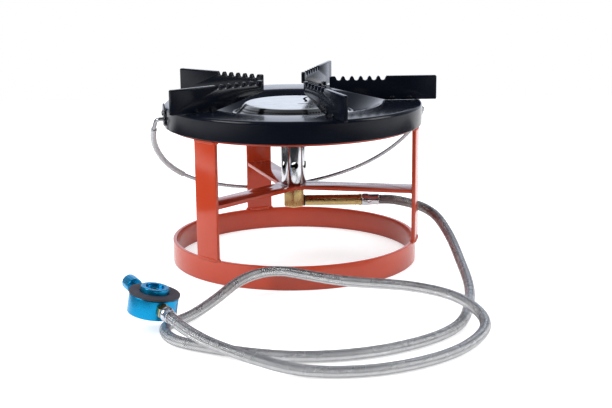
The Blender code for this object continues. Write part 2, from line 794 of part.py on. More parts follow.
def ferrule_profile(length):
    bore = HOSE_BORE_RADIUS
    waist = FERRULE_RADIUS - 0.5 * MM
    return [
        (bore, length),
        (waist, length),
        (waist + 0.3 * MM, length - 1.0 * MM),
        (waist, length * 0.55),
        (FERRULE_RADIUS, length * 0.42),
        (FERRULE_BULB, length * 0.34),
        (FERRULE_BULB, length * 0.12),
        (FERRULE_RADIUS, 0.0),
        (bore, 0.0),
    ]


# Cylinder valve, built upright about its own axis and leant with its empty


def valve_frame():
    frame = bpy.data.objects.new("valve_frame", None)
    PARTS.objects.link(frame)
    frame.location = VALVE_PLACE
    frame.rotation_euler = (0, math.radians(VALVE_LEAN), 0)
    return frame


def line_turn(angle):
    """Turns a solid's own Z to point outward from the valve, level in the valve's own frame."""
    return (math.radians(90.0), 0.0, math.radians(angle + 90.0))


def valve_point(reach, angle=PORT_ANGLE, height=PORT_HEIGHT):
    lean = Matrix.Rotation(math.radians(VALVE_LEAN), 3, "Y")
    return VALVE_PLACE + lean @ on_circle(reach, angle, height)


def build_valve():
    frame = valve_frame()
    edge = 1.0 * MM
    body = [
        (0.0, VALVE_HEIGHT),
        (VALVE_RADIUS - edge, VALVE_HEIGHT),
        (VALVE_RADIUS, VALVE_HEIGHT - edge),
        (VALVE_RADIUS, edge),
        (VALVE_RADIUS - edge, 0.0),
        (0.0, 0.0),
    ]
    turned("valve_body", body, BLUE, 40, closed=False, parent=frame)
    gasket = [
        (BOSS_RADIUS + TOUCH, GASKET_TOP),
        (GASKET_RADIUS, GASKET_TOP),
        (GASKET_RADIUS, GASKET_BOTTOM),
        (BOSS_RADIUS + TOUCH, GASKET_BOTTOM),
    ]
    turned("valve_gasket", gasket, RUBBER, 40, parent=frame)
    recess = BOSS_TOP - BOSS_RECESS
    boss = [
        (0.0, GASKET_BOTTOM + 1.0 * MM),
        (BOSS_HOLE_RADIUS, GASKET_BOTTOM + 1.0 * MM),
        (BOSS_HOLE_RADIUS, recess),
        (BOSS_RECESS_RADIUS, recess),
        (BOSS_RECESS_RADIUS, BOSS_TOP),
        (BOSS_RADIUS - 0.8 * MM, BOSS_TOP),
        (BOSS_RADIUS, BOSS_TOP - 0.8 * MM),
        (BOSS_RADIUS, VALVE_HEIGHT + TOUCH),
        (0.0, VALVE_HEIGHT + TOUCH),
    ]
    turned("valve_boss", boss, BLUE, 32, closed=False, parent=frame)
    pin_bottom = GASKET_BOTTOM + 1.0 * MM + TOUCH
    pin = [
        (0.0, recess + 0.6 * MM),
        (VALVE_PIN_RADIUS, recess + 0.2 * MM),
        (VALVE_PIN_RADIUS, pin_bottom),
        (0.0, pin_bottom),
    ]
    turned("valve_pin", pin, BRASS, 12, closed=False, parent=frame)
    build_valve_port(frame)
    build_valve_knob(frame)


def build_valve_port(frame):
    corner = NUT_FLATS / 2 / math.cos(math.radians(30.0))
    bore = HOSE_BORE_RADIUS
    nut = [(bore, NUT_LENGTH), (corner - 0.7 * MM, NUT_LENGTH), (corner, NUT_LENGTH - 0.7 * MM)]
    nut += [(corner, 0.7 * MM), (corner - 0.7 * MM, 0.0), (bore, 0.0)]
    turn = line_turn(PORT_ANGLE)
    at = on_circle(NUT_START, PORT_ANGLE, PORT_HEIGHT)
    turned("valve_nut", nut, BRASS, 6, at=at, turn=turn, parent=frame)
    at = on_circle(VALVE_FERRULE_START, PORT_ANGLE, PORT_HEIGHT)
    profile = ferrule_profile(VALVE_FERRULE_LENGTH)
    turned("hose_ferrule_valve", profile, STEEL, 20, at=at, turn=turn, parent=frame)


def build_valve_knob(frame):
    """The needle's stem, and the fluted knob pressed on it, opposite the hose."""
    angle = PORT_ANGLE + 180.0
    turn = line_turn(angle)
    collar = STEM_RADIUS + 1.8 * MM
    stem_start = VALVE_RADIUS + TOUCH
    stem_end = KNOB_REACH - TOUCH - stem_start
    stem = [
        (0.0, stem_end),
        (STEM_RADIUS, stem_end),
        (STEM_RADIUS, 4.0 * MM),
        (collar, 3.4 * MM),
        (collar, 0.0),
        (0.0, 0.0),
    ]
    at = on_circle(stem_start, angle, PORT_HEIGHT)
    turned("valve_stem", stem, STEEL, 16, closed=False, at=at, turn=turn, parent=frame)
    outline = []
    for i in range(KNOB_FLUTES * 4):
        radius = KNOB_RADIUS - (0.55 * MM if i % 4 in (2, 3) else 0.0)
        outline.append(tuple(on_circle(radius, i * 360.0 / (KNOB_FLUTES * 4))[:2]))
    at = on_circle(KNOB_REACH + KNOB_LENGTH / 2, angle, PORT_HEIGHT)
    plate("valve_knob", [outline], KNOB_LENGTH, BLUE, at=at, turn=turn, parent=frame)


# Hose: one smooth line from the ferrule on the stand to the ferrule on the valve


def build_hose():
    profile = ferrule_profile(FERRULE_LENGTH)
    at = (FERRULE_START, 0, LINE_HEIGHT)
    turned("hose_ferrule_burner", profile, STEEL, 20, at=at, turn=ALONG_X)
    start = Vector((HOSE_START, 0, LINE_HEIGHT))
    end = valve_point(HOSE_END)
    before_end = valve_point(HOSE_END + 18 * MM)
    route = [start, *(Vector(p) * MM for p in HOSE_ROUTE), before_end, end]
    points, length = smooth_through(route, HOSE_POINTS)
    print(f"hose length {length:.3f} m")
    rod("hose", points, HOSE_DIAMETER / 2, BRAID)


# Wire carrying handle, with a clear sleeve, in two riveted eyelet tabs


def handle_line():
    """The handle's centreline in its own frame: X along the pivots, Y out to the middle."""
    side = PAN_RADIUS + WIRE_BOW
    eye = [(PAN_RADIUS - PAN_WALL - WIRE_INSIDE, 0.0)]
    eye += arc((side - WIRE_BEND, WIRE_BEND), WIRE_BEND, -90.0, 0.0, 4)
    half = [eye.pop(), *((s * side, h * HANDLE_REACH) for s, h in HANDLE_OUTLINE)]
    whole = half + [(0.0, HANDLE_REACH)] + [(-s, h) for s, h in reversed(half)]
    bow, _ = smooth_through([(s, h, 0.0) for s, h in whole], 2 * WIRE_POINTS + 1)
    far_eye = [(-s, h) for s, h in reversed(eye)]
    return [Vector((s, h, 0.0)) for s, h in eye] + [Vector(p) for p in bow] + [
        Vector((s, h, 0.0)) for s, h in far_eye
    ]


def build_handle():
    turn = Matrix.Rotation(math.radians(HANDLE_ANGLE), 4, "Z") @ Matrix.Rotation(
        math.radians(-HANDLE_LEAN), 4, "X"
    )
    whole = Matrix.Translation((0, 0, HANDLE_HEIGHT)) @ turn
    line = handle_line()
    wire = rod("handle_wire", line, WIRE_RADIUS, STEEL)
    wire.matrix_world = whole
    held = [p for p in line if p.x < 0 and SLEEVE_FROM < p.y < SLEEVE_TO]
    sleeve = rod("handle_sleeve", held, SLEEVE_RADIUS, CLEAR_VINYL)
    bored = mesh_of(sleeve)
    bpy.data.objects.remove(sleeve)
    place(bored, PARTS)
    bored.name = "handle_sleeve"
    ahead = held[0] + (held[0] - held[1]).normalized() * 4 * MM
    behind = held[-1] + (held[-1] - held[-2]).normalized() * 4 * MM
    core = rod("sleeve_bore_line", [ahead, *held, behind], WIRE_RADIUS + SLEEVE_CLEAR, None)
    bore = mesh_of(core)
    bpy.data.objects.remove(core)
    place(bore, CUTTERS)
    bore.matrix_world = whole
    bored.matrix_world = whole
    combine(bored, bore)


def build_eyelets():
    half = TAB_WIDTH / 2
    for side, name in ((0.0, "right"), (180.0, "left")):
        outline = [(-TAB_BELOW, -half + 2 * MM), (-TAB_BELOW + 2 * MM, -half)]
        outline += arc((TAB_ABOVE - half, 0.0), half, -90.0, 90.0, 8)
        outline += [(-TAB_BELOW + 2 * MM, half), (-TAB_BELOW, half - 2 * MM)]
        pivot = arc((0.0, 0.0), WIRE_RADIUS + PIN_FIT, 0.0, 330.0, 11)
        rivet_hole = arc((RIVET_ABOVE, 0.0), RIVET_RADIUS + PIN_FIT, 0.0, 330.0, 11)
        toward = Matrix.Rotation(math.radians(HANDLE_ANGLE + side), 4, "Z")
        face = PAN_RADIUS + TOUCH + TAB_THICK / 2
        up = Matrix.Rotation(math.radians(-90.0), 4, "Y")
        tab = plate(f"handle_tab_{name}", [outline, pivot, rivet_hole], TAB_THICK, STEEL)
        tab.matrix_world = toward @ Matrix.Translation((face, 0, HANDLE_HEIGHT)) @ up
        outside = PAN_RADIUS + 2 * TOUCH + TAB_THICK
        inside = PAN_RADIUS - PAN_WALL - TOUCH
        profile = [
            (0.0, outside + RIVET_HEAD_PROUD),
            (RIVET_HEAD * 0.6, outside + 0.8 * RIVET_HEAD_PROUD),
            (RIVET_HEAD, outside),
            (RIVET_RADIUS, outside),
            (RIVET_RADIUS, inside),
            (RIVET_CLENCH, inside),
            (RIVET_CLENCH * 0.7, inside - 0.9 * MM),
            (0.0, inside - 0.9 * MM),
        ]
        rivet = turned(f"tab_rivet_{name}", profile, STEEL, 12, closed=False)
        lying = Matrix.Rotation(math.radians(90.0), 4, "Y")
        up_by = Matrix.Translation((0, 0, HANDLE_HEIGHT + RIVET_ABOVE))
        rivet.matrix_world = up_by @ toward @ lying


build_stand()
build_bracket()
build_pan()
build_supports()
build_mixing_tube()
build_bowl()
build_cap()
build_elbow()
build_jet()
build_inlet()
build_hose()
build_valve()
build_handle()
build_eyelets()
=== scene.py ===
"""Outdoor gas burner: an orange welded stand with a black drip pan, a stainless burner head, a
braided hose with a blue cylinder valve, and a wire carrying handle.

The camera, the light and the hose come first. Then each section makes one group of pieces, in
the order in which the burner is put together. Lengths are in metres.
"""

import math

import bmesh
import bpy
import numpy as np
from mathutils import Matrix, Vector


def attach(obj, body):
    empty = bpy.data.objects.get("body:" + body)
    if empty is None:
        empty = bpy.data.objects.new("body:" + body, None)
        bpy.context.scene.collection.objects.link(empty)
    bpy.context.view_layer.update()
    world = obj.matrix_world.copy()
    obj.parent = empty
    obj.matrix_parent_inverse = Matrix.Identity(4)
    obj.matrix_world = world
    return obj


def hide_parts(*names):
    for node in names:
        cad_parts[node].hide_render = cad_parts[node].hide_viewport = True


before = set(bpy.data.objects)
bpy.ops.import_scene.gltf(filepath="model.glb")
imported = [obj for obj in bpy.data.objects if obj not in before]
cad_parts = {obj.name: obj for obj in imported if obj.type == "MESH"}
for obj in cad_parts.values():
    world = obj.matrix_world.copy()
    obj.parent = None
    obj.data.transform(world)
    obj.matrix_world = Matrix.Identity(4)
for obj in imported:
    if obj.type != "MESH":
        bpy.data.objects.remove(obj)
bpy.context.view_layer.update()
scene = bpy.context.scene
mm = 0.001


# Camera. It stands low in front of the burner, a little to the left, with a long lens.

camera = bpy.data.objects.new("camera", bpy.data.cameras.new("camera"))
scene.collection.objects.link(camera)
scene.camera = camera
CAMERA_TURN = math.radians(-0.562)
CAMERA_PITCH = math.radians(13.164)
CAMERA_ROLL = math.radians(-0.534)
CAMERA_PLACE = (0.0, -1.3516, 0.3751)
camera.matrix_world = (
    Matrix.Translation(CAMERA_PLACE)
    @ Matrix.Rotation(CAMERA_TURN, 4, "Z")
    @ Matrix.Rotation(math.pi / 2 - CAMERA_PITCH, 4, "X")
    @ Matrix.Rotation(CAMERA_ROLL, 4, "Z")
)
camera.data.sensor_width = 36.0
camera.data.lens = 73.57
camera.data.clip_start = 0.05


# Hose. A rubber gas hose of about 10 mm in a braid of bright stainless wire, 1.44 m long, crimped
# into a ferrule at each end. It leaves the burner behind the right leg, drops to the ground, runs
# left, turns by the valve, and comes back over itself in a long low hump against the base ring.

HOSE_DIAMETER = 10.4 * mm
HOSE_LINE = [
    Vector(point) * mm
    for point in (
        (94.4, 0, 63.5), (99, 0, 63.5), (104.5, 0, 63.4), (114, 0, 62.2), (131, 0, 58.2),
        (143, -4, 54.6), (154, -13.5, 49.2), (162, -32, 41.5), (168.5, -62, 31), (172, -98, 20.8),
        (174.5, -135, 11.5), (172.5, -172, 6.6), (166.5, -206, 5.4), (154.5, -252, 5.4),
        (129, -292, 5.4), (82, -326, 5.4), (35, -341, 5.4), (-10, -341, 5.4), (-52, -328, 5.4),
        (-84, -313, 5.4), (-105.5, -298, 5.4), (-116.5, -279, 5.4), (-118, -257, 5.4),
        (-109, -242.5, 5.4), (-98.9, -230.6, 6.2), (-88.2, -215.9, 8.5), (-71, -187.1, 13.5),
        (-55.5, -161.4, 18.5), (-34.9, -146.8, 22.4), (-14.9, -144, 23.6), (5.1, -150.4, 22.6),
        (34.7, -164, 20.8), (69.7, -174.4, 19.6), (104.7, -182.5, 19), (139.1, -203.4, 18.4),
        (159.8, -234.9, 18.1), (170.6, -261, 14), (171.2, -281.4, 10), (161.6, -303, 7),
        (134.9, -337, 5.4), (88.1, -368.5, 5.4), (45.4, -379.4, 5.4), (3.3, -376.8, 6.4),
        (-25.8, -365.5, 9.5), (-52.1, -351.3, 13.5), (-76, -333.6, 17), (-92, -316.4, 19.8),
        (-101.9, -302.3, 21.3), (-110.5, -286.6, 22.8),
    )
]


def smooth_line(route, spacing):
    """Points at an even spacing on the natural cubic spline through the route."""
    route = np.array(route, float)
    steps = np.sqrt(np.linalg.norm(np.diff(route, axis=0), axis=1))
    knots = np.concatenate([[0.0], np.cumsum(steps)])
    total = len(route)
    matrix = np.eye(total)
    right = np.zeros_like(route)
    for i in range(1, total - 1):
        before, after = steps[i - 1], steps[i]
        matrix[i, i - 1 : i + 2] = before, 2 * (before + after), after
        right[i] = 6 * ((route[i + 1] - route[i]) / after - (route[i] - route[i - 1]) / before)
    curves = np.linalg.solve(matrix, right)
    at = np.linspace(0.0, knots[-1], 200 * total)
    i = np.clip(np.searchsorted(knots, at) - 1, 0, total - 2)
    step = steps[i][:, None]
    left, past = (knots[i + 1] - at)[:, None], (at - knots[i])[:, None]
    fine = (
        curves[i] * left**3 / (6 * step)
        + curves[i + 1] * past**3 / (6 * step)
        + (route[i] / step - curves[i] * step / 6) * left
        + (route[i + 1] / step - curves[i + 1] * step / 6) * past
    )
    along = np.concatenate([[0.0], np.cumsum(np.linalg.norm(np.diff(fine, axis=0), axis=1))])
    even = np.linspace(0.0, along[-1], round(along[-1] / spacing) + 1)
    return np.stack([np.interp(even, along, fine[:, k]) for k in range(3)], axis=1), along[-1]


def sweep_frames(line):
    """Two directions across the line at each point, carried along it with no twist."""
    ahead = np.gradient(line, axis=0)
    ahead /= np.linalg.norm(ahead, axis=1)[:, None]
    across = np.cross(ahead[0], (0.0, 0.0, 1.0))
    if np.linalg.norm(across) < 0.1:
        across = np.array((1.0, 0.0, 0.0))
    sides = []
    for direction in ahead:
        across = across - direction * across.dot(direction)
        across /= np.linalg.norm(across)
        sides.append(across)
    sides = np.array(sides)
    return sides, np.cross(ahead, sides)


def tube_mesh(name, line, radii, sides):
    """A round tube along the line with closed ends. radii is one number for each point, or one
    row of numbers round each point."""
    line = np.asarray(line, float)
    first, second = sweep_frames(line)
    angles = np.linspace(0.0, math.tau, sides, endpoint=False)
    radii = np.asarray(radii, float)
    radii = np.broadcast_to(radii[:, None] if radii.ndim == 1 else radii, (len(line), sides))
    points = (
        line[:, None]
        + first[:, None] * (radii * np.cos(angles))[..., None]
        + second[:, None] * (radii * np.sin(angles))[..., None]
    ).reshape(-1, 3)
    ring = np.arange(len(line) - 1)[:, None] * sides
    here, onward = np.arange(sides), (np.arange(sides) + 1) % sides
    faces = np.stack([ring + here, ring + onward, ring + sides + onward, ring + sides + here], -1)
    last = (len(line) - 1) * sides
    ends = [tuple(here[::-1]), tuple(last + here)]
    mesh = bpy.data.meshes.new(name)
    mesh.from_pydata(points, [], faces.reshape(-1, 4).tolist() + ends)
    return mesh


def add_piece(name, mesh, finish, body="main", stands_for=None, sharp=32.0):
    """Puts a mesh in the scene as one piece, with its finish, on the body that carries it. An
    edge that bends by more than sharp degrees stays sharp."""
    mesh.shade_smooth()
    if sharp:
        mesh.set_sharp_from_angle(angle=math.radians(sharp))
    if finish.material.name not in mesh.materials:
        mesh.materials.append(finish.material)
    piece = bpy.data.objects.new(name, mesh)
    scene.collection.objects.link(piece)
    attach(piece, body)
    if stands_for:
        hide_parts(stands_for)
    return piece


BRAID_STRANDS = 16  # each way round
BRAID_WIRES = 5  # in each strand
BRAID_PITCH = 2.3 * mm  # from one strand to the next, along the hose
BRAID_SIDES = 48
BRAID_STEP = 0.72 * mm
BRAID_RELIEF = 0.24 * mm
# How far along the hose from the burner the painted shade under the pan reaches.
PAN_SHADE_REACH = 150 * mm
hose_path, hose_length = smooth_line(HOSE_LINE, BRAID_STEP)
around = np.arange(BRAID_SIDES) / BRAID_SIDES * BRAID_STRANDS
along = np.linspace(0.0, hose_length / BRAID_PITCH, len(hose_path))[:, None]
rising, falling = around + along, around - along
over = (np.floor(rising) + np.floor(falling)) % 2 < 1
crown = np.abs(np.sin(math.pi * rising) * np.sin(math.pi * falling))
hose_radii = HOSE_DIAMETER / 2 - BRAID_RELIEF * (1.0 - crown**0.6) * np.where(over, 0.9, 1.0)
hose_mesh = tube_mesh("braided_hose", hose_path, hose_radii, BRAID_SIDES)
# The weave's own coordinates: strands round the hose, and pitches along it.
weave = hose_mesh.uv_layers.new(name="weave")
loops = np.zeros(len(hose_mesh.loops), np.int32)
hose_mesh.loops.foreach_get("vertex_index", loops)
sector = loops % BRAID_SIDES
wall_loops = 4 * BRAID_SIDES * (len(hose_path) - 1)
corner = np.arange(wall_loops) % 4
side_of_quad = (np.arange(wall_loops) // 4) % BRAID_SIDES
u = np.zeros(len(loops))
u[:wall_loops] = side_of_quad + np.isin(corner, (1, 2))
u[wall_loops:] = sector[wall_loops:]
uv = np.stack([u / BRAID_SIDES * BRAID_STRANDS, along[loops // BRAID_SIDES, 0]], axis=1)
weave.data.foreach_set("uv", uv.astype(np.float32).ravel())


# A finish is written as an expression. Reading a Value as a number in a sum or a product adds the
# Math node that works it out, and Nodes.node adds any other kind of node.


class Value:
    """The output of a node, as part of an expression."""

    def __init__(self, nodes, socket):
        self.nodes, self.socket = nodes, socket

    def work(self, operation, *others):
        return self.nodes.node("ShaderNodeMath", {"operation": operation}, self, *others)

    def __add__(self, other):
        return self.work("ADD", other)

    def __mul__(self, other):
        return self.work("MULTIPLY", other)

    def __sub__(self, other):
        return self.work("SUBTRACT", other)

    def __rsub__(self, other):
        return self.nodes.node("ShaderNodeMath", {"operation": "SUBTRACT"}, other, self)

    def __pow__(self, other):
        return self.work("POWER", other)

    def __mod__(self, other):
        return self.work("FLOORED_MODULO", other)

    __radd__ = __add__
    __rmul__ = __mul__


class Nodes:
    """The nodes of a material or of the world."""

    def __init__(self, tree):
        self.tree = tree

    def feed(self, socket, value):
        """Feeds a socket from a Value, a colour or a number."""
        if isinstance(value, Value):
            self.tree.links.new(value.socket, socket)
        else:
            socket.default_value = (*value, 1.0) if isinstance(value, tuple) else value

    def node(self, kind, settings=None, *values, out=0, **named):
        """Adds a node: its settings first, then its sockets by place or by name."""
        made = self.tree.nodes.new(kind)
        for key, value in (settings or {}).items():
            setattr(made, key, value)
        for place, value in enumerate(values):
            self.feed(made.inputs[place], value)
        for key, value in named.items():
            self.feed(made.inputs[key.replace("_", " ")], value)
        return Value(self, made.outputs[out])

    def place(self):
        """Where a point of the surface is, in metres."""
        return self.node("ShaderNodeTexCoord", out="Object")

    def split(self, vector):
        """The three parts of a vector."""
        first = self.node("ShaderNodeSeparateXYZ", {}, vector)
        return [Value(self, socket) for socket in first.socket.node.outputs]

    def noise(self, grain, detail=2.0, rough=0.5):
        """Cloudy noise from 0 to 1, with grains of the given size in metres."""
        return self.node("ShaderNodeTexNoise", {}, Vector=self.place(), Scale=1.0 / grain,
                         Detail=detail, Roughness=rough)

    def line_noise(self, along, grain, detail=2.0):
        """Noise that changes with one number only, such as a height or a radius."""
        return self.node("ShaderNodeTexNoise", {"noise_dimensions": "1D"}, W=along,
                         Scale=1.0 / grain, Detail=detail)

    def ramp(self, value, *stops):
        """The colour of the (place, colour) stops at a value from 0 to 1."""
        made = self.node("ShaderNodeValToRGB", {}, value)
        marks = made.socket.node.color_ramp.elements
        while len(marks) < len(stops):
            marks.new(0.5)
        for mark, (at, shade) in zip(marks, stops):
            mark.position, mark.color = at, (*shade, 1.0)
        return made

    def mix(self, share, low, high):
        """A colour between two colours."""
        made = self.node("ShaderNodeMix", {"data_type": "RGBA"}, out=2, Factor=share)
        for place, shade in ((6, low), (7, high)):
            self.feed(made.socket.node.inputs[place], shade)
        return made

    def span(self, value, low, high, to_low=0.0, to_high=1.0):
        """The value's range from low to high, stretched and held to another range."""
        return self.node("ShaderNodeMapRange", {}, value, low, high, to_low, to_high)

    def edge_on(self):
        """1 where the surface is seen edge-on, and 0 where it faces the viewer."""
        return self.node("ShaderNodeLayerWeight", Blend=0.5, out="Facing")

    def bump(self, height, distance, strength):
        """Relief from a height of 0 to 1 that stands for the given distance in metres."""
        return self.node("ShaderNodeBump", {}, Height=height, Distance=distance, Strength=strength)


class Finish(Nodes):
    """A surface finish: a material whose one shader is fed by expressions."""

    def __init__(self, name, slot, **constants):
        self.material = bpy.data.materials.new(name)
        self.material.use_nodes = True
        self.slot = slot
        super().__init__(self.material.node_tree)
        self.wear(**constants)

    def wear(self, **sockets):
        """Feeds the shader's own sockets."""
        shader = self.tree.nodes["Principled BSDF"]
        for socket, value in sockets.items():
            self.feed(shader.inputs[socket.replace("_", " ")], value)

    def clouded(self, clouds, low, high, roughness, relief, distance, strength):
        """Wears two colours and a range of roughness in the same clouds, over a fine relief."""
        self.wear(
            Base_Color=self.mix(clouds, low, high),
            Roughness=self.span(clouds, 0.25, 0.75, *roughness),
            Normal=self.bump(relief, distance, strength),
        )


braid = Finish("woven_steel_wire", "steel_braid", Metallic=1.0)
round_it, down_it, _ = braid.split(braid.node("ShaderNodeUVMap", {"uv_map": "weave"}))
rising_strand, falling_strand = round_it + down_it, round_it - down_it
rising_cell, falling_cell = rising_strand.work("FLOOR"), falling_strand.work("FLOOR")
on_top = (rising_cell + falling_cell) % 2.0
in_rising, in_falling = rising_strand.work("FRACT"), falling_strand.work("FRACT")
wire_of = in_rising * (1.0 - on_top) + in_falling * on_top
run_of = in_falling * (1.0 - on_top) + in_rising * on_top
wire_round = (wire_of * (math.pi * BRAID_WIRES)).work("SINE").work("ABSOLUTE")
bundle_round = (wire_of * math.pi).work("SINE")
run_round = (run_of * math.pi).work("SINE")
strand_height = (bundle_round * run_round) ** 0.5
braid_height = strand_height * 0.7 + wire_round * 0.3
dull = braid.noise(14 * mm, detail=3.0)
# The braid's colour follows the strands' height. It is near black in the hollows between strands
# and wires, which is painted shade, and bright on their crowns.
shade = braid.ramp(
    strand_height * (0.55 + 0.45 * wire_round),
    (0.0, (0.015, 0.015, 0.018)), (0.32, (0.34, 0.345, 0.355)), (0.62, (0.96, 0.965, 0.97)),
    (1.0, (1.0, 1.0, 1.0)),
)
# Painted shade: dark lines run along the hose between the rows, where the strands cross and dip.
rows = ((round_it * math.pi).work("COSINE") * 0.5 + 0.5) ** 3.0
shade = braid.mix(rows * 0.54, shade, (0.05, 0.05, 0.06))
# Painted shade: the hose's colour darkens where it is seen edge-on.
shade = braid.mix((braid.edge_on() ** 4.0) * 0.6, shade, (0.05, 0.05, 0.055))
# Painted shade: the hose darkens toward the burner end over its first 150 mm, under the pan.
under_pan_shade = braid.span(down_it, 0.0, PAN_SHADE_REACH / BRAID_PITCH, 0.80, 0.0)
shade = braid.mix(under_pan_shade, shade, (0.10, 0.085, 0.08))
braid.wear(
    Base_Color=braid.mix(dull * 0.12, shade, (0.40, 0.39, 0.38)),
    Roughness=braid.span(dull, 0.2, 0.8, 0.20, 0.34),
    Normal=braid.bump(braid_height, 0.27 * mm, 1.0),
)
hose = add_piece("braided_hose", hose_mesh, braid, stands_for="hose", sharp=None)


# Floor and light. A pale floor that the camera sees as white, soft boxes on both sides and above,
# and a dark studio in front, which is what the enamel and the paint mirror above the ground.


def stage_sheet(name, corners, finish):
    """Flat rectangles that belong to the studio, four corners for each."""
    mesh = bpy.data.meshes.new(name)
    mesh.from_pydata(corners, [], [tuple(range(i, i + 4)) for i in range(0, len(corners), 4)])
    mesh.materials.append(finish.material)
    placed = bpy.data.objects.new(name, mesh)
    scene.collection.objects.link(placed)
    return placed


def soft_box(name, at, toward, size, watts):
    """A rectangular lamp that points from one place toward another."""
    lamp = bpy.data.lights.new(name, "AREA")
    lamp.shape = "RECTANGLE"
    lamp.size, lamp.size_y = size
    lamp.energy = watts
    placed = bpy.data.objects.new(name, lamp)
    scene.collection.objects.link(placed)
    placed.location = at
    aim = Vector(toward) - Vector(at)
    placed.rotation_euler = aim.to_track_quat("-Z", "Y").to_euler()
    return placed


floor_paint = Finish("pale_floor", None, Base_Color=(0.78, 0.78, 0.79), Roughness=0.9,
                     Specular_IOR_Level=0.1, Emission_Strength=0.58)
seen = floor_paint.node("ShaderNodeLightPath")
mirrored = floor_paint.node("ShaderNodeLightPath", out="Is Glossy Ray")
glow = (seen + mirrored * 0.85).work("MINIMUM", 1.0)
floor_paint.wear(Emission_Color=floor_paint.mix(glow, (0.0, 0.0, 0.0), (1.0, 1.0, 1.0)))
stage_sheet("floor", [(-4, -4, 0), (4, -4, 0), (4, 1.2, 0), (-4, 1.2, 0)], floor_paint)

# The card lies just above the floor in front of the burner and on both sides of it.
card_black = Finish("dark_card", None, Base_Color=(0.01, 0.01, 0.01), Roughness=1.0)
SIDE, LEFT, RIGHT, NEAR, FRONT, BACK, LIFT = 1.20, -0.36, 0.70, -4.0, -0.43, 0.60, 1 * mm
card = stage_sheet("dark_card", [
    (x, y, LIFT)
    for left, right, front, back in (
        (-SIDE, SIDE, NEAR, FRONT), (-SIDE, LEFT, FRONT, BACK), (RIGHT, SIDE, FRONT, BACK)
    )
    for x, y in ((left, front), (right, front), (right, back), (left, back))
], card_black)
card.visible_camera = card.visible_diffuse = card.visible_shadow = False
card.visible_transmission = False

# The world is white to the camera, pale grey to matt surfaces, and dark in front to shiny ones.
world = bpy.data.worlds.new("studio")
scene.world = world
world.use_nodes = True
sky = Nodes(world.node_tree)
_, toward_back, _ = sky.split(sky.node("ShaderNodeTexCoord", out="Generated"))
levels = ((0.15, 0.02), (0.45, 0.08), (0.80, 0.34), (0.92, 0.90), (1.0, 1.25))
studio_depth = sky.ramp(
    sky.span(toward_back, -1.0, 1.0),
    *((at, (level * 0.93, level, level * 1.15)) for at, level in levels),
)
mirrored = sky.node("ShaderNodeLightPath", out="Is Glossy Ray")
seen = sky.node("ShaderNodeLightPath", out="Is Camera Ray")
around_it = sky.mix(mirrored, (0.50, 0.51, 0.53), studio_depth)
backdrop = world.node_tree.nodes["Background"]
sky.feed(backdrop.inputs["Color"], sky.mix(seen, around_it, (1.0, 1.0, 1.0)))
sky.feed(backdrop.inputs["Strength"], 1.0)

soft_box("box_left", (-1.5, -0.9, 1.1), (0, 0, 0.08), (1.0, 1.2), 22)
soft_box("box_right", (1.7, -0.3, 0.9), (0, 0, 0.1), (0.8, 1.2), 14)
above = soft_box("box_above", (0.1, 0.5, 1.9), (0, 0, 0.1), (1.6, 1.2), 20)
above.visible_glossy = False
scene.view_settings.view_transform = "Standard"


# Stand. Two rings rolled from 4 mm flat bar, and three upright flat bars welded between them. The
# ring ends are welded and ground flush. The whole stand is powder coated orange.

BAR = 4 * mm
RING_OUTSIDE, RING_INSIDE = 134.5 * mm, 130.5 * mm
LEG_WIDTH = 30 * mm
LEG_LOW, LEG_HIGH, STAND_TOP = 25 * mm, 148.5 * mm, 172.5 * mm
LEGS = {  # the leg's direction, and how far it stands proud of the ring
    "leg_right": (-12.0, 1.8 * mm), "leg_back": (108.4, 0.0), "leg_front_left": (228.0, 0.8 * mm)
}
WELD_GAP = 0.2 * mm

orange = Finish("orange_powder_coat", "orange_paint")
clouds = orange.noise(26 * mm, detail=3.0)
peel = orange.noise(1.3 * mm, detail=1.0)
specks = orange.span(orange.noise(2.2 * mm, detail=4.0, rough=0.7), 0.66, 0.74)
# The paint is darker, in clouds, over its lowest 5 mm above the ground.
darker_low_down = orange.span(orange.split(orange.place())[2], 0.0, 5 * mm, 1.0, 0.0)
coat_color = orange.mix(clouds, (0.52, 0.050, 0.017), (0.58, 0.068, 0.024))
coat_color = orange.mix(specks * 0.12, coat_color, (0.30, 0.030, 0.014))
coat_color = orange.mix(darker_low_down * clouds * 0.5, coat_color, (0.20, 0.06, 0.04))
orange.wear(
    Base_Color=coat_color,
    Roughness=orange.span(clouds, 0.25, 0.75, 0.10, 0.18),
    Normal=orange.bump(peel * 0.5 + clouds * 0.5, 0.06 * mm, 0.5),
)


def eased(corners, edge, closed=True, steps=3):
    """The same outline with its corners rounded over the given distance along each side."""
    corners = [np.array(corner, float) for corner in corners]
    line = []
    for i, corner in enumerate(corners):
        if not closed and i in (0, len(corners) - 1):
            line.append(corner)
            continue
        back, on = corners[i - 1] - corner, corners[(i + 1) % len(corners)] - corner
        back = corner + back * min(edge / np.linalg.norm(back), 0.45)
        on = corner + on * min(edge / np.linalg.norm(on), 0.45)
        for share in np.linspace(0.0, 1.0, steps + 1):
            rest = 1.0 - share
            line.append(rest**2 * back + 2 * share * rest * corner + share**2 * on)
    return line


def written(work, mesh):
    """Writes a bmesh to a mesh, or to a new one of that name, and frees it."""
    mesh = bpy.data.meshes.new(mesh) if isinstance(mesh, str) else mesh
    work.to_mesh(mesh)
    work.free()
    return mesh


def tidied(mesh, at=None):
    """Merges double points, turns every face outward, and puts the mesh in its place."""
    work = bmesh.new()
    work.from_mesh(mesh)
    bmesh.ops.remove_doubles(work, verts=work.verts, dist=1e-6)
    bmesh.ops.recalc_face_normals(work, faces=work.faces)
    if at is not None:
        work.transform(at)
    return written(work, mesh)


def in_mm(pairs):
    """Points of an outline or a profile that is given in millimetres."""
    return [(x * mm, y * mm) for x, y in pairs]


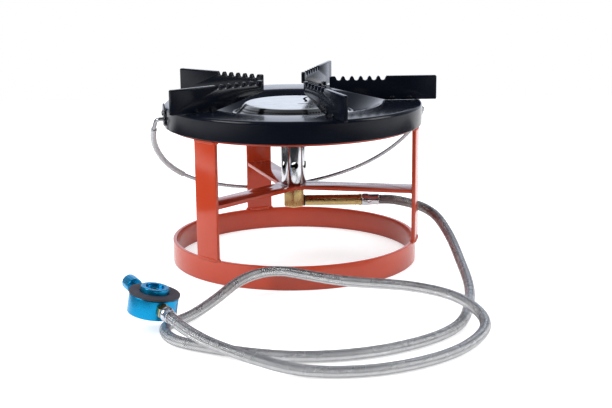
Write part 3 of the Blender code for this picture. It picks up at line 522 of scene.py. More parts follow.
def turned(name, profile, steps, closed=True, at=None):
    """A shape turned about Z from (radius, height) pairs. A closed profile is a ring's section,
    and an open one starts and ends on the axis."""
    profile = np.array(profile, float)
    angles = np.arange(steps) * math.tau / steps
    points = np.stack(
        [
            np.outer(profile[:, 0], np.cos(angles)),
            np.outer(profile[:, 0], np.sin(angles)),
            np.repeat(profile[:, 1:], steps, axis=1),
        ],
        axis=-1,
    ).reshape(-1, 3)
    faces = []
    for row in range(len(profile) if closed else len(profile) - 1):
        this, following = row * steps, (row + 1) % len(profile) * steps
        for i in range(steps):
            j = (i + 1) % steps
            faces.append((this + i, this + j, following + j, following + i))
    mesh = bpy.data.meshes.new(name)
    mesh.from_pydata(points, [], faces)
    return tidied(mesh, at)


def block(name, size, edge, at):
    """A bar of the given size with rounded edges."""
    work = bmesh.new()
    bmesh.ops.create_cube(work, size=1.0, matrix=Matrix.Diagonal((*size, 1.0)))
    bmesh.ops.bevel(
        work, geom=list(work.edges), offset=edge, segments=3, profile=0.5, affect="EDGES"
    )
    return tidied(written(work, name), at)


def joined(name, meshes):
    """Several loose shapes as one mesh."""
    work = bmesh.new()
    for mesh in meshes:
        work.from_mesh(mesh)
    return written(work, name)


def weld_bead(degrees, height, start, end, radius, seed):
    """A run of weld metal, level, between two points given as (away, across): overlapping
    puddles along a line, a little uneven."""
    start, end = (out_at(degrees, *point, height) for point in (start, end))
    count = max(int((end - start).length / (0.35 * mm)), 6)
    share = np.linspace(0.0, 1.0, count)
    line = np.outer(1 - share, start) + np.outer(share, end)
    run = share * (end - start).length / (1.9 * mm) + seed
    ripple = 0.80 + 0.16 * np.abs(np.sin(math.pi * run)) + 0.09 * np.sin(run * 1.7 + seed * 3)
    ends = np.sqrt(np.clip(1.0 - np.abs(2 * share - 1.0) ** 8, 0.04, 1.0))
    return tube_mesh("bead", line, radius * ripple * ends, 12)


def out_at(degrees, away, across=0.0, height=0.0):
    """A point that is away from the axis in one direction, and across from that line."""
    turn = Matrix.Rotation(math.radians(degrees), 3, "Z")
    return turn @ Vector((away, across, height))


for name, low, high in (("base_ring", 0.0, LEG_LOW), ("upper_ring", LEG_HIGH, STAND_TOP)):
    section = [(RING_INSIDE, low), (RING_OUTSIDE, low), (RING_OUTSIDE, high), (RING_INSIDE, high)]
    ring = turned("rolled_" + name, eased(section, 1.0 * mm), 192)
    add_piece("rolled_" + name, ring, orange, stands_for=name)
beads = []
for seed, (name, (angle, proud)) in enumerate(LEGS.items()):
    middle = RING_OUTSIDE - BAR / 2 + proud
    upright = Matrix.Translation(out_at(angle, middle, 0.0, (LEG_LOW + LEG_HIGH) / 2)) @ (
        Matrix.Rotation(math.radians(angle), 4, "Z")
    )
    bar = block(name, (BAR, LEG_WIDTH, LEG_HIGH - LEG_LOW - 2 * WELD_GAP), 0.7 * mm, upright)
    add_piece("upright_" + name[4:], bar, orange, stands_for=name)
    inner, outer, half = middle - BAR / 2, middle + BAR / 2, LEG_WIDTH / 2
    for at, sign in ((LEG_LOW, 1), (LEG_HIGH, -1)):
        height = at + sign * WELD_GAP
        for away, start, end, radius, shift in (
            (outer - 1.0 * mm, -half + 1 * mm, half - 1 * mm, 2.3 * mm, sign * 0.7),
            (inner - 0.2 * mm, -half + 3 * mm, half - 2 * mm, 2.1 * mm, sign * 0.3),
        ):
            beads.append(
                weld_bead(angle, height, (away, start), (away, end), radius, seed + shift)
            )
        for side in (-1, 1):
            beads.append(weld_bead(angle, height, (inner, side * half),
                                   (middle + 1.2 * mm, side * half), 1.9 * mm, seed + side * 0.4))
    for height, share in ((79.2 * mm, 0.94), (82.9 * mm, 0.55)):  # at the bracket's arm
        reach = share * 14.0 * mm
        beads.append(weld_bead(angle, height, (inner + 0.1 * mm, -reach),
                               (inner + 0.1 * mm, reach), 1.7 * mm, seed + share))
add_piece("stand_welds", joined("stand_welds", beads), orange, sharp=80.0)


# Burner bracket. A three-armed plate cut from 4 mm sheet, welded to the insides of the legs. The
# gas jet comes up through the hole in its middle and clamps the elbow under it.

BRACKET_TOP = 83 * mm
ARM_WIDTH, ARM_FILLET = 29 * mm, 16 * mm


def arc(center, radius, start, end, steps):
    """Points on an arc, in degrees."""
    angles = np.radians(np.linspace(start, end, steps + 1))
    return [(center[0] + radius * math.cos(a), center[1] + radius * math.sin(a)) for a in angles]


def worked_out(body, *tools):
    """The mesh that an object's curve or modifiers make. The object and its tools are removed."""
    for obj in (body, *tools):
        scene.collection.objects.link(obj)
    bpy.context.view_layer.update()
    graph = bpy.context.evaluated_depsgraph_get()
    mesh = bpy.data.meshes.new_from_object(body.evaluated_get(graph))
    mesh.name = body.name
    for obj in (body, *tools):
        bpy.data.objects.remove(obj)
    return mesh


def cut_sheet(name, outlines, thick, edge, at):
    """A flat piece cut from sheet, with its edges broken. The outlines lie in its own XY plane."""
    curve = bpy.data.curves.new(name, "CURVE")
    curve.dimensions = "2D"
    curve.fill_mode = "BOTH"
    curve.extrude = thick / 2 - edge
    curve.bevel_depth = edge
    curve.bevel_resolution = 1
    curve.offset = -edge
    for outline in outlines:
        spline = curve.splines.new("POLY")
        spline.points.add(len(outline) - 1)
        for point, (x, y) in zip(spline.points, outline):
            point.co = (x, y, 0.0, 1.0)
        spline.use_cyclic_u = True
    mesh = worked_out(bpy.data.objects.new(name, curve))
    bpy.data.curves.remove(curve)
    return tidied(mesh, at)


bracket_outline = []
arms = sorted(LEGS.values())
for i, (angle, proud) in enumerate(arms):
    for side in (-ARM_WIDTH / 2, ARM_WIDTH / 2):
        bracket_outline.append(tuple(out_at(angle, RING_INSIDE + proud - WELD_GAP, side)[:2]))
    gap = (arms[(i + 1) % 3][0] - angle) % 360.0
    away = (ARM_WIDTH / 2 + ARM_FILLET) / math.sin(math.radians(gap / 2))
    bracket_outline += arc(out_at(angle + gap / 2, away)[:2], ARM_FILLET, angle + 270.0,
                           angle + 90.0 + gap, 14)
bracket = cut_sheet("three_arm_bracket", [bracket_outline, arc((0, 0), 5.5 * mm, 0, 350, 35)],
                    BAR, 0.45 * mm, Matrix.Translation((0, 0, BRACKET_TOP - BAR / 2)))
add_piece("three_arm_bracket", bracket, orange, stands_for="burner_bracket")


# Drip pan. Pressed from 1.5 mm sheet, with a turned-down skirt and a sloping well round the
# burner, and coated in glossy black enamel. It sits over the upper ring.

PAN_RADIUS, PAN_TOP, SHEET = 140 * mm, 174.3 * mm, 1.5 * mm
WELL_TOP_RADIUS, WELL_FLOOR_RADIUS, WELL_FLOOR = 96.5 * mm, 70 * mm, 151.3 * mm
PAN_HOLE, SKIRT_HEIGHT, ROLLED_EDGE = 15.85 * mm, 23 * mm, 0.4 * mm
HANDLE_TURN, PIVOT_HEIGHT, RIVET_HEIGHT = 12.7, 161.0 * mm, 167.6 * mm

enamel = Finish("black_enamel_coat", "black_enamel", IOR=1.35)
waves = enamel.noise(7 * mm, detail=2.0)
fine_peel = enamel.noise(1.0 * mm, detail=1.0)
dust = enamel.span(enamel.noise(0.9 * mm, detail=1.0), 0.80, 0.84)
hazy = enamel.noise(34 * mm, detail=4.0)
enamel.wear(
    Base_Color=enamel.mix(
        dust * 0.5, enamel.mix(hazy, (0.003, 0.004, 0.008), (0.005, 0.007, 0.013)),
        (0.10, 0.10, 0.11),
    ),
    Roughness=enamel.span(hazy, 0.25, 0.75, 0.15, 0.21) + dust * 0.2,
    Normal=enamel.bump(fine_peel * 0.4 + waves * 0.6, 0.02 * mm, 0.35),
)


def with_holes(mesh, cutters):
    """Cuts the closed shapes out of the mesh."""
    body = bpy.data.objects.new(mesh.name, mesh)
    tool = bpy.data.objects.new("tool", joined("tool", cutters))
    cut = body.modifiers.new("cut", "BOOLEAN")
    cut.operation, cut.solver, cut.object = "DIFFERENCE", "EXACT", tool
    return worked_out(body, tool)


def drill(degrees, away, height, radius, length, sides=32):
    """A round cutter that points out from the axis."""
    line = [out_at(degrees, away + share * length, 0.0, height) for share in (-0.5, 0.0, 0.5)]
    return tidied(tube_mesh("drill", line, radius, sides))


steep = math.atan2(PAN_TOP - WELL_FLOOR, WELL_TOP_RADIUS - WELL_FLOOR_RADIUS)
shift = SHEET * math.tan(steep / 2)
skirt_low = PAN_TOP - SKIRT_HEIGHT
pan_outside = eased(
    [(PAN_HOLE, WELL_FLOOR), (WELL_FLOOR_RADIUS, WELL_FLOOR), (WELL_TOP_RADIUS, PAN_TOP),
     (PAN_RADIUS, PAN_TOP), (PAN_RADIUS, skirt_low)], 3.6 * mm, closed=False, steps=6,
)
pan_inside = eased(
    [(PAN_RADIUS - SHEET, skirt_low), (PAN_RADIUS - SHEET, PAN_TOP - SHEET),
     (WELL_TOP_RADIUS + shift, PAN_TOP - SHEET), (WELL_FLOOR_RADIUS + shift, WELL_FLOOR - SHEET),
     (PAN_HOLE, WELL_FLOOR - SHEET)], 2.4 * mm, closed=False, steps=4,
)
rolled = [(PAN_RADIUS - 0.35 * mm, skirt_low), (PAN_RADIUS - SHEET + 0.35 * mm, skirt_low)]
pan_outside[-1] = np.array((PAN_RADIUS, skirt_low + ROLLED_EDGE))
pan_inside[0] = np.array((PAN_RADIUS - SHEET, skirt_low + ROLLED_EDGE))
pan_mesh = turned("pressed_pan", [*pan_outside, *rolled, *pan_inside], 256)
skirt_drills = [
    drill(HANDLE_TURN + side, PAN_RADIUS, height, radius, 14 * mm)
    for side in (0.0, 180.0)
    for height, radius in ((PIVOT_HEIGHT, 2.6 * mm), (RIVET_HEIGHT, 2.5 * mm))
]
add_piece("pressed_drip_pan", with_holes(pan_mesh, skirt_drills), enamel, stands_for="drip_pan")


# Pot supports. Five blades of 4 mm sheet that stand on the pan, with six rounded notches each to
# grip a round-bottomed pot, two studs through the foot, and the same black enamel.

BLADE_TOP, BLADE_TIP = 26.1 * mm, 14.1 * mm
BLADE_INNER, BLADE_OUTER, BLADE_SEAT = 40 * mm, 156.5 * mm, 101 * mm
NOTCH_RADIUS, NOTCH_DEPTH, NOTCH_FLARE = 2.7 * mm, 4.6 * mm, 0.9 * mm
NOTCHES, NOTCH_FIRST, NOTCH_STEP = 6, 50 * mm, 9.6 * mm
STUDS = (108 * mm, 127 * mm)
BLADES, FIRST_BLADE, SEAT_GAP = 5, 1.3, 0.3 * mm

blade_outline = [(BLADE_SEAT, 0.0), *arc((BLADE_OUTER - 0.9 * mm, 0.9 * mm), 0.9 * mm, -90, 0, 4)]
blade_outline += arc((BLADE_OUTER - 1.8 * mm, BLADE_TOP - 1.8 * mm), 1.8 * mm, 0, 90, 6)
floor_middle = BLADE_TOP - NOTCH_DEPTH + NOTCH_RADIUS
mouth = NOTCH_RADIUS + NOTCH_FLARE
for place in reversed([NOTCH_FIRST + i * NOTCH_STEP for i in range(NOTCHES)]):
    blade_outline += arc((place + mouth + 0.8 * mm, BLADE_TOP - 0.8 * mm), 0.8 * mm, 90, 160, 3)
    blade_outline += arc((place, floor_middle), NOTCH_RADIUS, 0, -180, 12)
    blade_outline += arc((place - mouth - 0.8 * mm, BLADE_TOP - 0.8 * mm), 0.8 * mm, 20, 90, 3)
blade_outline += arc((BLADE_INNER + 1.6 * mm, BLADE_TOP - 1.6 * mm), 1.6 * mm, 90, 180, 5)
blade_outline += [
    (BLADE_INNER, BLADE_TIP + 0.4 * mm), (BLADE_INNER + 0.8 * mm, BLADE_TIP - 0.1 * mm)
]
stud_profile = eased(in_mm([(0, -3.5), (2.3, -3.5), (2.3, 3.5), (0, 3.5)]), 1.0 * mm, closed=False)
for i in range(BLADES):
    stand = (
        Matrix.Translation((0, 0, PAN_TOP + SEAT_GAP))
        @ Matrix.Rotation(math.radians(FIRST_BLADE + 360.0 / BLADES * i), 4, "Z")
        @ Matrix.Rotation(math.pi / 2, 4, "X")
    )
    blade = cut_sheet("blade", [blade_outline], BAR, 0.5 * mm, stand)
    studs = [
        turned("stud", stud_profile, 24, closed=False,
               at=stand @ Matrix.Translation((along, 2.4 * mm, 0)))
        for along in STUDS
    ]
    add_piece(f"notched_blade_{i + 1}", joined("notched_blade", [blade, *studs]), enamel,
              stands_for=f"pot_support_{i + 1}")


# Mixing tube and burner bowl. A polished stainless tube with six air holes stands on the
# bracket, and a dish pressed from 1.5 mm stainless sheet slides over its top with a collar.

TUBE_OUTSIDE, TUBE_INSIDE = 13.75 * mm, 12.25 * mm
TUBE_LOW, TUBE_HIGH = 83.3 * mm, 152.0 * mm
AIR_HOLE_HEIGHT = 105 * mm

tube_steel = Finish("polished_tube", "polished_stainless", Metallic=1.0)
drawn_lines = tube_steel.line_noise(tube_steel.split(tube_steel.place())[2], 0.25 * mm, 3.0)
smudge = tube_steel.noise(9 * mm, detail=3.0)
tube_steel.wear(
    Base_Color=tube_steel.mix(smudge * 0.35, (0.66, 0.67, 0.69), (0.48, 0.48, 0.50)),
    Roughness=tube_steel.span(smudge, 0.2, 0.8, 0.06, 0.18),
    Normal=tube_steel.bump(drawn_lines, 0.01 * mm, 0.35),
)
# Dark steel for the mixing tube's inside, the cap's underside, port and slot walls and rims, and
# the valve pin. It is partly heat oxide and partly painted shade where these lie in shadow.
oxide_and_shade_steel = Finish("heat_dulled_and_shaded_steel", "polished_stainless", Metallic=1.0)
oxide = oxide_and_shade_steel.noise(6 * mm, detail=4.0)
oxide_and_shade_steel.clouded(oxide, (0.10, 0.10, 0.11), (0.04, 0.035, 0.03), (0.45, 0.65),
                   oxide, 0.05 * mm, 0.5)
tube_profile = eased([(TUBE_INSIDE, TUBE_LOW), (TUBE_OUTSIDE, TUBE_LOW),
                      (TUBE_OUTSIDE, TUBE_HIGH), (TUBE_INSIDE, TUBE_HIGH)], 0.5 * mm)
air_drills = [drill(-85.0 + 60.0 * i, TUBE_OUTSIDE, AIR_HOLE_HEIGHT, 4 * mm, 8 * mm, 40)
              for i in range(6)]
drilled_tube = with_holes(turned("mixing_tube", tube_profile, 128), air_drills)
# The tube's inside wall takes the dark steel: painted shade inside the tube, seen through the air
# holes.
for finish in (tube_steel, oxide_and_shade_steel):
    drilled_tube.materials.append(finish.material)
for face in drilled_tube.polygons:
    face.material_index = int(face.center.xy.length < TUBE_OUTSIDE - 0.2 * mm)
add_piece("polished_mixing_tube", drilled_tube, tube_steel, stands_for="mixing_tube")
FLOOR_LOW, RIM_TOP, BOWL_RADIUS = 151.6 * mm, 161.6 * mm, 66 * mm
bowl_profile = [
    (14.05 * mm, FLOOR_LOW + SHEET), (56 * mm, FLOOR_LOW + SHEET), (64.5 * mm, RIM_TOP - 2 * mm),
    (64.5 * mm, RIM_TOP), (BOWL_RADIUS, RIM_TOP), (BOWL_RADIUS, RIM_TOP - 2.4 * mm),
    (56.7 * mm, FLOOR_LOW), (15.55 * mm, FLOOR_LOW), (15.55 * mm, FLOOR_LOW + SHEET - 11 * mm),
    (14.05 * mm, FLOOR_LOW + SHEET - 11 * mm),
]


# Burner cap. Pressed from 1.2 mm stainless sheet and polished: a flat disc with two curved slots,
# a sloping band with two rows of 104 punched flame ports, and a narrow flat rim.

CAP_LOW, CAP_HIGH, CAP_SHEET = 161.9 * mm, 173.0 * mm, 1.2 * mm
DISC_RADIUS, BAND_FOOT, CAP_OUTSIDE = 52.0 * mm, 62.6 * mm, 65.6 * mm
PORTS_IN_ROW = 104
PORT_RADIUS = 1.2 * mm
SLOT_WIDTH = 3.0 * mm
SLOT_STARTS = (-61.0, 11.0)
SLOT_NEAR, SLOT_LENGTH, SLOT_TURN = 14, 28, 56.0
BEND = 1.5 * mm  # how far the rounded bend reaches on each side of the disc's edge

cap_steel = Finish("polished_cap", "polished_stainless", Metallic=1.0)
across, deep, _ = cap_steel.split(cap_steel.place())
radius_here = (across * across + deep * deep) ** 0.5
spun = cap_steel.line_noise(radius_here, 0.35 * mm, 3.0)
smudge = cap_steel.noise(13 * mm, detail=4.0)
cap_steel.wear(
    Base_Color=cap_steel.mix(smudge * 0.4, (0.40, 0.40, 0.385), (0.30, 0.305, 0.30)),
    Roughness=cap_steel.span(smudge, 0.2, 0.8, 0.10, 0.20),
    Normal=cap_steel.bump(spun * 0.6 + smudge * 0.4, 0.03 * mm, 0.4),
)
add_piece("pressed_burner_bowl", turned("burner_bowl", eased(bowl_profile, 0.9 * mm), 160),
          cap_steel, stands_for="burner_bowl")


def slot_outline(start):
    """One curved slot that turns, then runs straight outward, with round ends."""
    share = np.linspace(0.0, 1.0, 25) ** 1.5
    away = (SLOT_NEAR + SLOT_LENGTH * share) * mm
    turn = np.radians(start + SLOT_TURN * (1.0 - (1.0 - share) ** 4))
    middle = np.stack([away * np.cos(turn), away * np.sin(turn)], axis=1)
    ahead = np.gradient(middle, axis=0)
    ahead /= np.linalg.norm(ahead, axis=1)[:, None]
    side = np.stack([-ahead[:, 1], ahead[:, 0]], axis=1) * SLOT_WIDTH / 2
    facing = math.degrees(math.atan2(*ahead[-1][::-1]))
    facing_back = math.degrees(math.atan2(*ahead[0][::-1]))
    far_end = arc(middle[-1], SLOT_WIDTH / 2, facing - 60, facing + 60, 4)
    near_end = arc(middle[0], SLOT_WIDTH / 2, facing_back + 120, facing_back + 240, 4)
    return [*map(tuple, middle - side), *far_end, *map(tuple, (middle + side)[::-1]), *near_end]


def cap_surface():
    """The cap's outer face, from the disc's slots down over the band's ports to the rim."""
    columns = 2 * PORTS_IN_ROW
    slope_ahead = np.array((BAND_FOOT - DISC_RADIUS, CAP_LOW + CAP_SHEET - CAP_HIGH))
    band_length = np.linalg.norm(slope_ahead)
    work = bmesh.new()

    def point(along, column):
        """along runs down the section from the disc's edge, and is negative on the disc."""
        bend = (along + BEND) / (2 * BEND)
        if along <= -BEND:
            away, height = DISC_RADIUS + along, CAP_HIGH
        elif along < BEND:
            away, height = (
                np.array((DISC_RADIUS, CAP_HIGH)) - (1 - bend) ** 2 * np.array((BEND, 0.0))
                + bend**2 * slope_ahead * BEND / band_length
            )
        elif along <= band_length:
            away, height = np.array((DISC_RADIUS, CAP_HIGH)) + slope_ahead * along / band_length
        else:
            away, height = BAND_FOOT + along - band_length, CAP_LOW + CAP_SHEET
        turn = column * math.tau / columns
        return work.verts.new((away * math.cos(turn), away * math.sin(turn), height))

    cell = math.tau * (DISC_RADIUS + BAND_FOOT) / 2 / PORTS_IN_ROW
    first = 0.5 * (band_length - 2 * cell) - 0.1 * mm
    last = band_length + CAP_OUTSIDE - BAND_FOOT
    levels = [-2.2 * mm, *np.linspace(-BEND, BEND, 7), first, first + cell, first + 2 * cell,
              band_length - 0.7 * mm, band_length + 0.5 * mm, last - 0.4 * mm, last]
    rings = {level: [point(level, column) for column in range(columns)] for level in levels}
    for upper, lower in zip(levels, levels[1:]):
        if upper in (first, first + cell):
            continue
        for i in range(columns):
            j = (i + 1) % columns
            work.faces.new((rings[upper][i], rings[lower][i], rings[lower][j], rings[upper][j]))
    for row, upper in enumerate((first, first + cell)):
        lower = first + (row + 1) * cell
        halfway = [point((upper + lower) / 2, 2 * i + row) for i in range(PORTS_IN_ROW)]
        for i in range(PORTS_IN_ROW):
            three = [(2 * i + row + k) % columns for k in range(3)]
            around_hole = [
                *(rings[upper][column] for column in three), halfway[(i + 1) % PORTS_IN_ROW],
                *(rings[lower][column] for column in reversed(three)), halfway[i],
            ]
            hole = []
            for k in range(8):
                turn = math.radians(-135 + 45 * k)
                sideways = PORT_RADIUS * math.cos(turn) / cell * 2
                hole.append(point((upper + lower) / 2 + PORT_RADIUS * math.sin(turn),
                                  2 * i + row + 1 + sideways))
            for k in range(8):
                m = (k + 1) % 8
                work.faces.new((around_hole[k], hole[k], hole[m], around_hole[m]))
    edges = [work.edges.get((a, b)) for a, b in
             zip(rings[levels[0]], rings[levels[0]][1:] + rings[levels[0]][:1])]
    for start in SLOT_STARTS:
        corners = [work.verts.new((x, y, CAP_HIGH)) for x, y in slot_outline(start)]
        edges += [work.edges.new(pair) for pair in zip(corners, corners[1:] + corners[:1])]
    bmesh.ops.triangle_fill(work, use_beauty=True, edges=edges)
    bmesh.ops.recalc_face_normals(work, faces=work.faces)
    if sum(face.normal.z for face in work.faces) < 0:
        bmesh.ops.reverse_faces(work, faces=work.faces)
    return written(work, "pressed_cap")


def thickened(mesh, thick):
    """Gives a surface the sheet's thickness, inward. The new faces take the second material."""
    body = bpy.data.objects.new(mesh.name, mesh)
    grow = body.modifiers.new("sheet", "SOLIDIFY")
    grow.thickness, grow.offset = thick, -1.0
    grow.material_offset, grow.material_offset_rim = 1, 1
    return worked_out(body)


raw_cap = cap_surface()
# The cap's underside, port and slot walls and rims take the dark steel: heat oxide and painted
# shade.
for finish in (cap_steel, oxide_and_shade_steel):
    raw_cap.materials.append(finish.material)
add_piece("pressed_burner_cap", thickened(raw_cap, CAP_SHEET), cap_steel, stands_for="burner_cap",
          sharp=38.0)


# Gas line. A hexagonal brass elbow clamped under the bracket by the jet, and a turned brass tube
# with an end flange, to which the hose's ferrule is crimped. Dark sealant shows between the two.

ELBOW_FLATS, ELBOW_LOW, ELBOW_HIGH = 21.4 * mm, 57.1 * mm, 78.7 * mm
LINE_HEIGHT = 63.5 * mm
along_x = Matrix.Rotation(math.pi / 2, 4, "Y")

brass = Finish("machined_brass", "brass", Metallic=1.0)
tarnish = brass.noise(7 * mm, detail=4.0)
tool_marks = brass.line_noise(brass.split(brass.place())[0], 0.5 * mm)
brass.clouded(tarnish, (0.62, 0.46, 0.20), (0.46, 0.33, 0.14), (0.22, 0.34),
              tool_marks, 0.006 * mm, 0.2)
corner = ELBOW_FLATS / 2 / math.cos(math.radians(30.0))
elbow_profile = [(0, ELBOW_HIGH), (corner - 0.8 * mm, ELBOW_HIGH), (corner, ELBOW_HIGH - 0.8 * mm),
                 (corner, ELBOW_LOW + 1.6 * mm), (corner - 2.5 * mm, ELBOW_LOW), (0, ELBOW_LOW)]
elbow_mesh = turned("elbow", elbow_profile, 6, closed=False,
                    at=Matrix.Rotation(math.radians(30.0), 4, "Z"))
work = bmesh.new()
work.from_mesh(elbow_mesh)
ridges = [edge for edge in work.edges if edge.calc_face_angle(0.0) > math.radians(20)]
bmesh.ops.bevel(work, geom=ridges, offset=0.35 * mm, segments=2, profile=0.5, affect="EDGES")
add_piece("hexagon_elbow", written(work, elbow_mesh), brass, stands_for="brass_elbow", sharp=24.0)
inlet_profile = [
    (3.2, 63.7), (6.2, 63.7), (6.7, 63.2), (6.7, 61.4), (6.2, 60.9), (5.9, 60.6), (5.9, 57.6),
    (6.1, 57.3), (6.1, 56.6), (5.9, 56.3), (5.9, 1.9), (5.7, 1.6), (5.0, 1.6), (5.0, 0.0),
    (3.2, 0.0),
]
inlet_at = Matrix.Translation((11.0 * mm, 0, LINE_HEIGHT)) @ along_x
add_piece("turned_inlet_tube", turned("inlet", in_mm(inlet_profile), 64, at=inlet_at), brass,
          stands_for="brass_inlet_tube", sharp=40.0)
sealant = Finish("thread_sealant", "black_rubber")
crumbs = sealant.noise(0.8 * mm, detail=3.0)
sealant.clouded(crumbs, (0.012, 0.010, 0.009), (0.045, 0.038, 0.030), (0.45, 0.70),
                crumbs, 0.08 * mm, 0.7)
squeezed = eased(in_mm([(5.05, -0.3), (6.3, -0.3), (6.2, 1.4), (5.05, 1.4)]), 0.5 * mm)
add_piece("squeezed_sealant", turned("sealant", squeezed, 64, at=inlet_at), sealant, sharp=50.0)
# The valve pin takes the dark steel: painted shade for the pin down in its hole.
for node, finish in (("gas_jet", brass), ("valve_pin", oxide_and_shade_steel)):
    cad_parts[node].data.materials.clear()
    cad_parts[node].data.materials.append(finish.material)


# Hose ferrules. Short steel sleeves, zinc plated, crimped over the braid at each end in a row of
# flats, with a rounded bulb toward the fitting.

ferrule_steel = Finish("plated_ferrule", "plated_steel", Metallic=1.0)
scuffs = ferrule_steel.noise(2.5 * mm, detail=4.0)
ferrule_steel.clouded(scuffs, (0.70, 0.71, 0.74), (0.58, 0.59, 0.62), (0.14, 0.26),
                      scuffs, 0.015 * mm, 0.4)


def crimped_sleeve(length, at):
    """The sleeve's bulb is round, and its waist is pressed into eight flats."""
    section = [(2.6, 0.0), (5.9, 0.0), (6.5, 0.05), (6.9, 0.13), (6.9, 0.33), (6.6, 0.39),
               (6.2, 0.44), (5.9, 0.56), (5.85, 0.72), (5.95, 0.86), (6.15, 0.93), (6.1, 0.98),
               (5.8, 1.0), (2.6, 1.0)]
    profile = [(r * mm, share * length) for r, share in section]
    mesh = turned("ferrule", eased(profile, 0.3 * mm), 96)
    for vertex in mesh.vertices:
        away, share = vertex.co.xy.length, vertex.co.z / length
        if away > 5 * mm and 0.45 < share < 0.92:
            turn = math.atan2(vertex.co.y, vertex.co.x) % (math.tau / 8) - math.pi / 8
            flat = math.cos(math.pi / 8) / math.cos(turn) * 1.035
            depth = math.sin(math.pi * (share - 0.45) / 0.47)
            vertex.co.xy *= 1.0 + (min(flat, 1.0) - 1.0) * depth
    return tidied(mesh, at)


burner_ferrule_at = Matrix.Translation((75.0 * mm, 0, LINE_HEIGHT)) @ along_x
add_piece("crimped_ferrule_burner", crimped_sleeve(19.1 * mm, burner_ferrule_at), ferrule_steel,
          stands_for="hose_ferrule_burner", sharp=50.0)


# Cylinder valve. A round body turned from aluminium and anodised blue, with a rubber gasket and a
# stepped boss that seats on the gas cylinder. The hose screws into its side with a brass nut.

VALVE_PLACE, VALVE_LEAN = Vector((-132.5, -249.5, 15.8)) * mm, math.radians(9.5)
valve_at = Matrix.Translation(VALVE_PLACE) @ Matrix.Rotation(VALVE_LEAN, 4, "Y")
VALVE_RADIUS, VALVE_HEIGHT, VALVE_PORT = 23 * mm, 18.5 * mm, 10.5 * mm
PORT_TURN = -61.0

blue = Finish("blue_anodised_aluminium", "blue_anodised", Metallic=0.85)
dye = blue.noise(11 * mm, detail=3.0)
grain = blue.noise(0.35 * mm, detail=2.0)
blue.clouded(dye, (0.002, 0.26, 0.52), (0.004, 0.29, 0.57), (0.24, 0.31),
             grain, 0.001 * mm, 0.15)


def out_of_valve(degrees, away):
    """Turns a shape's own Z outward from the valve's axis, at the height of its ports."""
    turn = Matrix.Rotation(math.radians(degrees), 4, "Z")
    return valve_at @ turn @ Matrix.Translation((away, 0, VALVE_PORT)) @ along_x


body_profile = eased([(0, VALVE_HEIGHT), (VALVE_RADIUS, VALVE_HEIGHT), (VALVE_RADIUS, 0), (0, 0)],
                     0.9 * mm, closed=False, steps=4)
add_piece("turned_valve_body", turned("valve_body", body_profile, 144, closed=False, at=valve_at),
          blue, stands_for="valve_body")
boss_profile = [
    (0, 19.8), (3.3, 19.8), (3.3, 23.4), (8.6, 23.4), (8.6, 25.8), (13.2, 25.8), (13.2, 18.8),
    (0, 18.8),
]
add_piece("stepped_boss",
          turned("boss", eased(in_mm(boss_profile), 0.7 * mm, closed=False, steps=4), 128,
                 closed=False, at=valve_at),
          blue, stands_for="valve_boss")

rubber = Finish("gasket_rubber", "black_rubber")
pores = rubber.noise(0.8 * mm, detail=3.0)
bloom = rubber.noise(9 * mm, detail=3.0)
rubber.clouded(bloom, (0.022, 0.020, 0.028), (0.050, 0.046, 0.060), (0.55, 0.78),
               pores, 0.06 * mm, 0.6)
gasket_profile = in_mm([(13.5, 21.3), (23.8, 21.3), (23.8, 18.8), (13.5, 18.8)])
add_piece("gasket", turned("gasket", eased(gasket_profile, 0.8 * mm), 144, at=valve_at),
          rubber, stands_for="valve_gasket")
nut_corner = 6.5 / math.cos(math.radians(30.0))
nut_profile = [(2.6, 0), (nut_corner - 0.9, 0), (nut_corner, 0.7), (nut_corner, 4.8),
               (nut_corner - 0.9, 5.5), (2.6, 5.5)]
add_piece("hexagon_nut", turned("nut", in_mm(nut_profile), 6,
                                at=out_of_valve(PORT_TURN, VALVE_RADIUS + SEAT_GAP)),
          brass, stands_for="valve_nut", sharp=24.0)
add_piece("crimped_ferrule_valve",
          crimped_sleeve(13 * mm, out_of_valve(PORT_TURN, VALVE_RADIUS + 6.1 * mm)),
          ferrule_steel, stands_for="hose_ferrule_valve", sharp=50.0)
stem_profile = eased([(0, 20.4), (3.2, 20.4), (3.2, 4.0), (5.0, 3.4), (5.0, 0), (0, 0)], 0.5,
                     closed=False)
add_piece("needle_stem", turned("stem", in_mm(stem_profile), 48, closed=False,
                                at=out_of_valve(PORT_TURN + 180, VALVE_RADIUS + SEAT_GAP)),
          ferrule_steel, stands_for="valve_stem")


# Knob. A round grip turned from aluminium with shallow flutes, anodised blue, pressed on the
# needle's stem. It turns about the stem's axis, and it is the last piece on the hose's end.

KNOB_RADIUS, KNOB_LENGTH, KNOB_AWAY = 7.6 * mm, 15 * mm, 44 * mm
FLUTES, FLUTE_DEPTH = 14, 0.35 * mm
knob_profile = eased([(0, KNOB_LENGTH), (KNOB_RADIUS, KNOB_LENGTH), (KNOB_RADIUS, 0), (0, 0)],
                     1.1 * mm, closed=False, steps=4)
knob_mesh = turned("knob", knob_profile, FLUTES * 12, closed=False)
for vertex in knob_mesh.vertices:
    away = vertex.co.xy.length
    if away > 1 * mm:
        turn = math.atan2(vertex.co.y, vertex.co.x) * FLUTES
        groove = max(0.0, math.cos(turn)) ** 1.5 * FLUTE_DEPTH
        ends = min(vertex.co.z, KNOB_LENGTH - vertex.co.z) / (2.2 * mm)
        vertex.co.xy *= 1.0 - groove * min(1.0, max(0.0, ends)) * (away / KNOB_RADIUS) ** 4 / away
add_piece("fluted_knob", tidied(knob_mesh, out_of_valve(PORT_TURN + 180, KNOB_AWAY)), blue,
          body="knob", stands_for="valve_knob", sharp=50.0)


# Carrying handle. A bail of bright steel wire whose bent ends turn in eyelet tabs riveted to the
# pan's skirt. A clear ribbed sleeve covers its left part, and it leans on the back leg.

